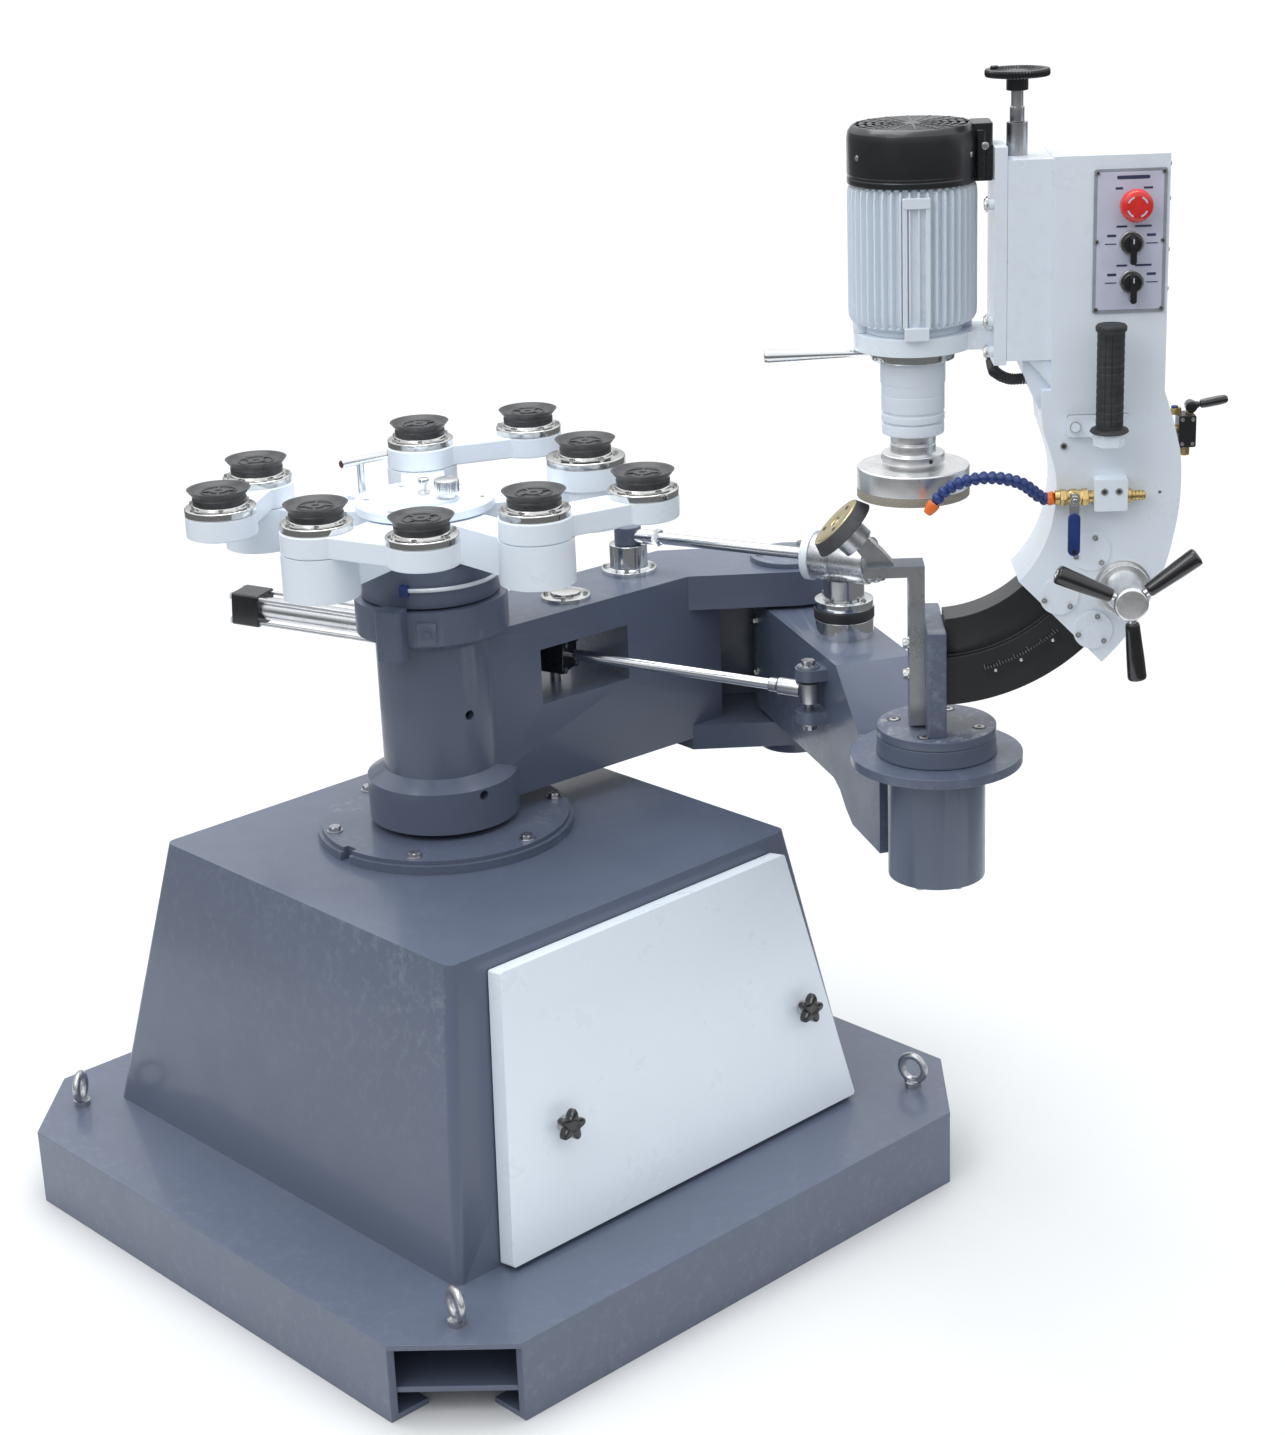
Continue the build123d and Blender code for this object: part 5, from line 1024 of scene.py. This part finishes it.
for angle in (-90, -170, 10, 90):
    a = radians(angle)
    spot = at(MOTOR, 66 * cos(a), 66 * sin(a))
    lugs.append(turned(spot, [(10, 1262.4), (10, 1276)], 32, 1.5))
    studs.append(turned(spot, [(4.2, 1240.4), (4.2, 1263)], 24, 0.3))
    studs.append(hex_bolt(at(spot, 0, 0, 1276), 6.4, 5.0))
build("motor_lugs", "carriage", merged(*lugs), [white_motor])
build("motor_studs", "carriage", merged(*studs), [steel])

cover_rows = [(79.2, 1445), (80, 1446), (80, 1452), (79.4, 1453), (79.4, 1456), (80, 1457), (80, 1500),
    (78.6, 1508), (75, 1513), (72, 1515.4)]
for k in range(6):
    outer = 69 - 10 * k
    cover_rows += [(outer, 1515.4), (outer - 0.6, 1511.5), (outer - 3.4, 1511.5), (outer - 4, 1515.6)]
cover_rows += [(8, 1515.8), (0, 1515.8)]
cover = turned(MOTOR, cover_rows, 128, 0.5)
bars = []
for k in range(16):
    bars.append(slab(at(MOTOR, 0, 0, 0, 22.5 * k), rectangle(60, 2.4, 0, 41, 0), 1511.4, 1515.9))
build("fan_cover_shell", "carriage", merged(cover, *bars), [black_cast], 0, ("fan_cover",))
terminal = slab(at(WRIST, 55, 0, 1445.4), rectangle(25.5, 50, 5), 0, 69.6)
build("terminal_box", "carriage", merged(terminal, slab(at(WRIST, 53, 0, 1445.4), rectangle(12, 56, 4), 3,
    62)), [black_cast], 1.2)
gland = turned(facing(WRIST, 58, -25, 1488, (0, -1, 0)), [(4.6, 0), (4.6, 3), (3, 3.4), (0, 3.4)], 30, 0.4)
build("terminal_screw", "carriage", gland, [zinc])
bands_cover = [turned(facing(WRIST, -29 + 80 * cos(radians(a)), 80 * sin(radians(a)), 1480,
    (cos(radians(a)), sin(radians(a)), 0)), [(3.4, -1), (3.4, 0.8), (0, 1.2)], 24, 0.3) for a in (-150, -30)]
build("fan_cover_screws", "carriage", merged(*bands_cover), [zinc])

nose_rows = [(15.2, 1130.2, 0), (38.6, 1130.2, 0), (39.5, 1131, 0), (39.5, 1143.6, 0), (37, 1144.2, 0),
    (37, 1146.6, 0), (40, 1147.4, 0), (40, 1155.6, 0), (38, 1156.4, 0), (38, 1159.4, 0), (40, 1160.4, 0),
    (40, 1180, 0), (39.6, 1180.5, 0), (39.6, 1181.5, 0), (40, 1182, 0), (40, 1194.6, 0), (41, 1195.4, 0),
    (41, 1240, 0)]
build("spindle_housing", "carriage", turned(MOTOR, nose_rows, 112, 0.5), [white_motor], 0, ("spindle_nose",))
lock_ring = ring(MOTOR, 41.3, 53, 1226, 1239.4, 112, 1.2)
lock_rod = turned(facing(WRIST, -74, 0, 1233, (-1, 0, 0)), [(4, 0), (4.4, 1), (5, 40), (8, 126), (8.6, 138),
    (7, 141.4), (0, 142)], 48, 1.2)
build("lock_ring", "spindle_lock_lever", lock_ring, [chrome_cups], 0, ("spindle_lock_lever",))
build("lock_rod", "spindle_lock_lever", lock_rod, [chrome])
wheel = turned(MOTOR, [(0, 1073), (54, 1073), (54, 1060.3), (71.6, 1060.3), (71.6, 1086.4), (70.4, 1088),
    (31, 1088), (30, 1089), (30, 1092), (38.4, 1092.3), (40, 1093.6), (40, 1103.8), (38.8, 1105),
    (29, 1105.2), (29, 1116), (27.8, 1116.6), (27.8, 1118), (29, 1118.6), (29, 1129.6), (15, 1129.6),
    (15, 1290)], 128, 0.9)
build("cup_wheel_body", "spindle", wheel, [wheel_metal], 0, ("cup_wheel",))
build("abrasive_ring", "spindle", ring(MOTOR, 56, 71.6, 1049, 1060.2, 128, 0.8), [stone])
flats = [turned(facing(MOTOR, 40 * cos(radians(a)), 40 * sin(radians(a)), 1098.6,
    (cos(radians(a)), sin(radians(a)), 0)), [(3, -0.4), (3, 0.3), (0, 0.3)], 20, 0.2) for a in (-60, 60, 180)]
build("wheel_grub_screws", "spindle", merged(*flats), [dark_steel])

# ---------------------------------------------------------------- turning table
skin("table_spider", [white], 2.0)
skin("hub_disc", [white, steel], 1.4, lambda c, n: 1 if c.z < 991 else 0)
disc_screws = fastener_ring(at(COLUMN, 0, 0, 998.2), 80, 6, 15, 4.9, 4.4, dark=1)
build("hub_disc_screws", "table", disc_screws, [zinc, dark_steel])
centre_parts = turned(at(COLUMN, 0, 0, 1009), [(9, 0), (9, 4), (5, 5), (5, 13), (8, 14), (8, 22), (6, 23),
    (0, 23)], 48, 0.6)
build("hub_fitting", "table", centre_parts, [chrome])


def knurl_fine(a, r, z):
    return 1 + 0.035 * cos(30 * a) if r > 16 else 1.0


KNOB = turned_frame(pivot("hub_knob_turn", 0), (1, 0, 0))
knob_rows = [(5, 998.4), (5, 1009.2), (11, 1009.4), (11, 1015.6), (15.5, 1016), (16.9, 1017.6),
    (16.9, 1033.4), (15.4, 1035.4), (4, 1035.8), (0, 1035.8)]
build("hub_knob_head", "hub_knob", turned(KNOB, knob_rows, 240, 0.5, knurl_fine), [chrome], 0, ("hub_knob",),
    sharp=50)

TEE = turned_frame(pivot("tee_handle_turn", 0), (1, 0, 0))
tee_stem = turned(TEE, [(5, 970.4), (5, 1037)], 32, 0.4)
tee_way = Vector((77, -6, 0)).normalized()
TEE_BAR = turned_frame(Vector((-45, 198, 1040)), UP, tee_way)
tee_bar = turned(TEE_BAR, [(5.2, 1.5), (6, 2.4), (6, 74.6), (5, 76.6), (0, 76.8)], 40, 0.8)
tee_end = turned(TEE_BAR, [(0, 0.2), (4.6, 0.2), (5.6, 1.2), (5.2, 1.7)], 32, 0.3)
build("tee_bar", "tee_handle", merged(tee_stem, tee_bar), [chrome], 0, ("tee_handle",))
build("tee_cap", "tee_handle", tee_end, [tee_plug])


def table_post(number):
    if number == 0:
        a = radians(-20)
        return Vector((241 * cos(a), pivot("table_turn", 0).y + 241 * sin(a), 0))
    return pivot(f"link_{number}_swing", 0)


def cup(base, big=0.0):
    # chrome clamp flange with screws, then the lipped rubber cup with its pattern of ribs
    chrome_part = turned(base, [(47.6 + big, 1022.1), (48 + big, 1022.6), (48 + big, 1031),
        (46.6 + big, 1032.2), (38, 1032.4), (37, 1035.6), (35.4, 1036.6)], 96, 0.7)
    screws = [socket_screw(at(base, 42.4 * cos(radians(a)), 42.4 * sin(radians(a)), 1032.2), 3.3,
        3.6) for a in range(20, 380, 60)]
    lip = turned(base, [(35.4, 1034.5), (36, 1037), (36.4, 1044), (35.2, 1046), (36, 1048), (40, 1053),
        (42.9, 1056.4), (42.2, 1056.7), (39.6, 1056.0), (34.5, 1052.2), (32, 1051.4), (24.8, 1051.2),
        (24.4, 1053.0), (22.6, 1053.0), (22.2, 1051.2), (12.4, 1051.2), (12, 1053.4), (5, 1053.4),
        (4, 1050.5), (0, 1050.5)], 96, 0.5)
    marks_on = []
    for k in range(4):
        a = 45 + 90 * k
        marks_on.append(slab(at(base, 0, 0, 0, a), rectangle(9, 3.2, 1.2, 17.6, 0), 1051, 1053.0))
    return chrome_part, screws, merged(lip, *marks_on)


for number in range(5):
    root = table_post(number)
    body = "table" if number == 0 else f"swing_link_{number}"
    places = [at(turned_frame(root, (1, 0, 0)), turn=31 * number)]
    if number:
        skin(body, [white], 2.4)
        direction = {1: -24.0, 2: -143.0, 3: -73.0, 4: -13.0}[number]
        tip = root + heading(direction) * 165
        places.append(at(turned_frame(tip, (1, 0, 0)), turn=17 + 40 * number))
    node = "fixed_cup" if number == 0 else f"link_cups_{number}"
    for which, place in enumerate(places):
        metal_part, screws, rubber_part = cup(place, 8.0 if number == 0 else 0.0)
        label = f"cup_{number}_{which}"
        build(label + "_flange", body, metal_part, [chrome_cups], 0, (node,) if which == 0 else ())
        build(label + "_screws", body, merged(*screws), [zinc])
        build(label + "_rubber", body, rubber_part, [cup_rubber])

# ---------------------------------------------------------------- light
WORLD_LOW, WORLD_HIGH, BACKDROP = 0.20, 1.2, 1.08
FLOOR_RADIUS = 2100.0


def studio_world():
    # bright overhead, dimmer below, with a white backdrop behind the object
    world = bpy.data.worlds.new("studio")
    scene.world = world
    world.use_nodes = True
    tree = world.node_tree
    direction = tree.nodes.new("ShaderNodeTexCoord").outputs["Generated"]
    split = tree.nodes.new("ShaderNodeSeparateXYZ")
    tree.links.new(direction, split.inputs[0])
    sky = tree.nodes.new("ShaderNodeMapRange")
    sky.interpolation_type = "SMOOTHSTEP"
    for key, value in (("From Min", -0.05), ("From Max", 0.55), ("To Min", WORLD_LOW),
        ("To Max", WORLD_HIGH)):
        sky.inputs[key].default_value = value
    tree.links.new(split.outputs["Z"], sky.inputs["Value"])
    toward = tree.nodes.new("ShaderNodeVectorMath")
    toward.operation = "DOT_PRODUCT"
    tree.links.new(direction, toward.inputs[0])
    toward.inputs[1].default_value = CAMERA_AHEAD
    drop = tree.nodes.new("ShaderNodeMapRange")
    drop.interpolation_type = "SMOOTHSTEP"
    for key, value in (("From Min", 0.86), ("From Max", 0.915)):
        drop.inputs[key].default_value = value
    tree.links.new(toward.outputs["Value"], drop.inputs["Value"])
    blend = tree.nodes.new("ShaderNodeMix")
    tree.links.new(drop.outputs["Result"], blend.inputs["Factor"])
    tree.links.new(sky.outputs["Result"], blend.inputs["A"])
    blend.inputs["B"].default_value = BACKDROP
    tree.links.new(blend.outputs["Result"], tree.nodes["Background"].inputs["Strength"])
    tree.nodes["Background"].inputs["Color"].default_value = (0.97, 0.985, 1.0, 1.0)


studio_world()


def studio_floor():
    # pale round floor under the machine
    points = [Vector((FLOOR_RADIUS * cos(2 * pi * k / 96), FLOOR_RADIUS * sin(2 * pi * k / 96),
        0)) for k in range(96)]
    mesh = bpy.data.meshes.new("floor")
    mesh.from_pydata([p * MM for p in points], [], [tuple(range(96))])
    mesh.materials.append(paint("floor_paint", (0.70, 0.71, 0.72), rough=0.85, coat=0.0, dirt=0.01,
        peel=0.02))
    floor = bpy.data.objects.new("floor", mesh)
    scene.collection.objects.link(floor)


studio_floor()


def softbox(name, place, target, size, power):
    lamp = bpy.data.lights.new(name, "AREA")
    lamp.shape = "RECTANGLE"
    lamp.size, lamp.size_y = size
    lamp.energy = power
    holder = bpy.data.objects.new(name, lamp)
    holder.matrix_world = turned_frame(Vector(place), (1, 0, 0.01), Vector(place) - Vector(target))
    scene.collection.objects.link(holder)


softbox("key_light", (-3.0, -0.6, 3.8), (0, 0, 0.8), (2.4, 1.8), 36)
softbox("fill_light", (3.0, -3.4, 2.2), (0.2, -0.2, 0.9), (2.4, 2.0), 6)
softbox("top_light", (0.3, 0.5, 4.4), (0.1, 0, 0.6), (3.0, 3.0), 110)
scene.view_settings.view_transform = "Standard"
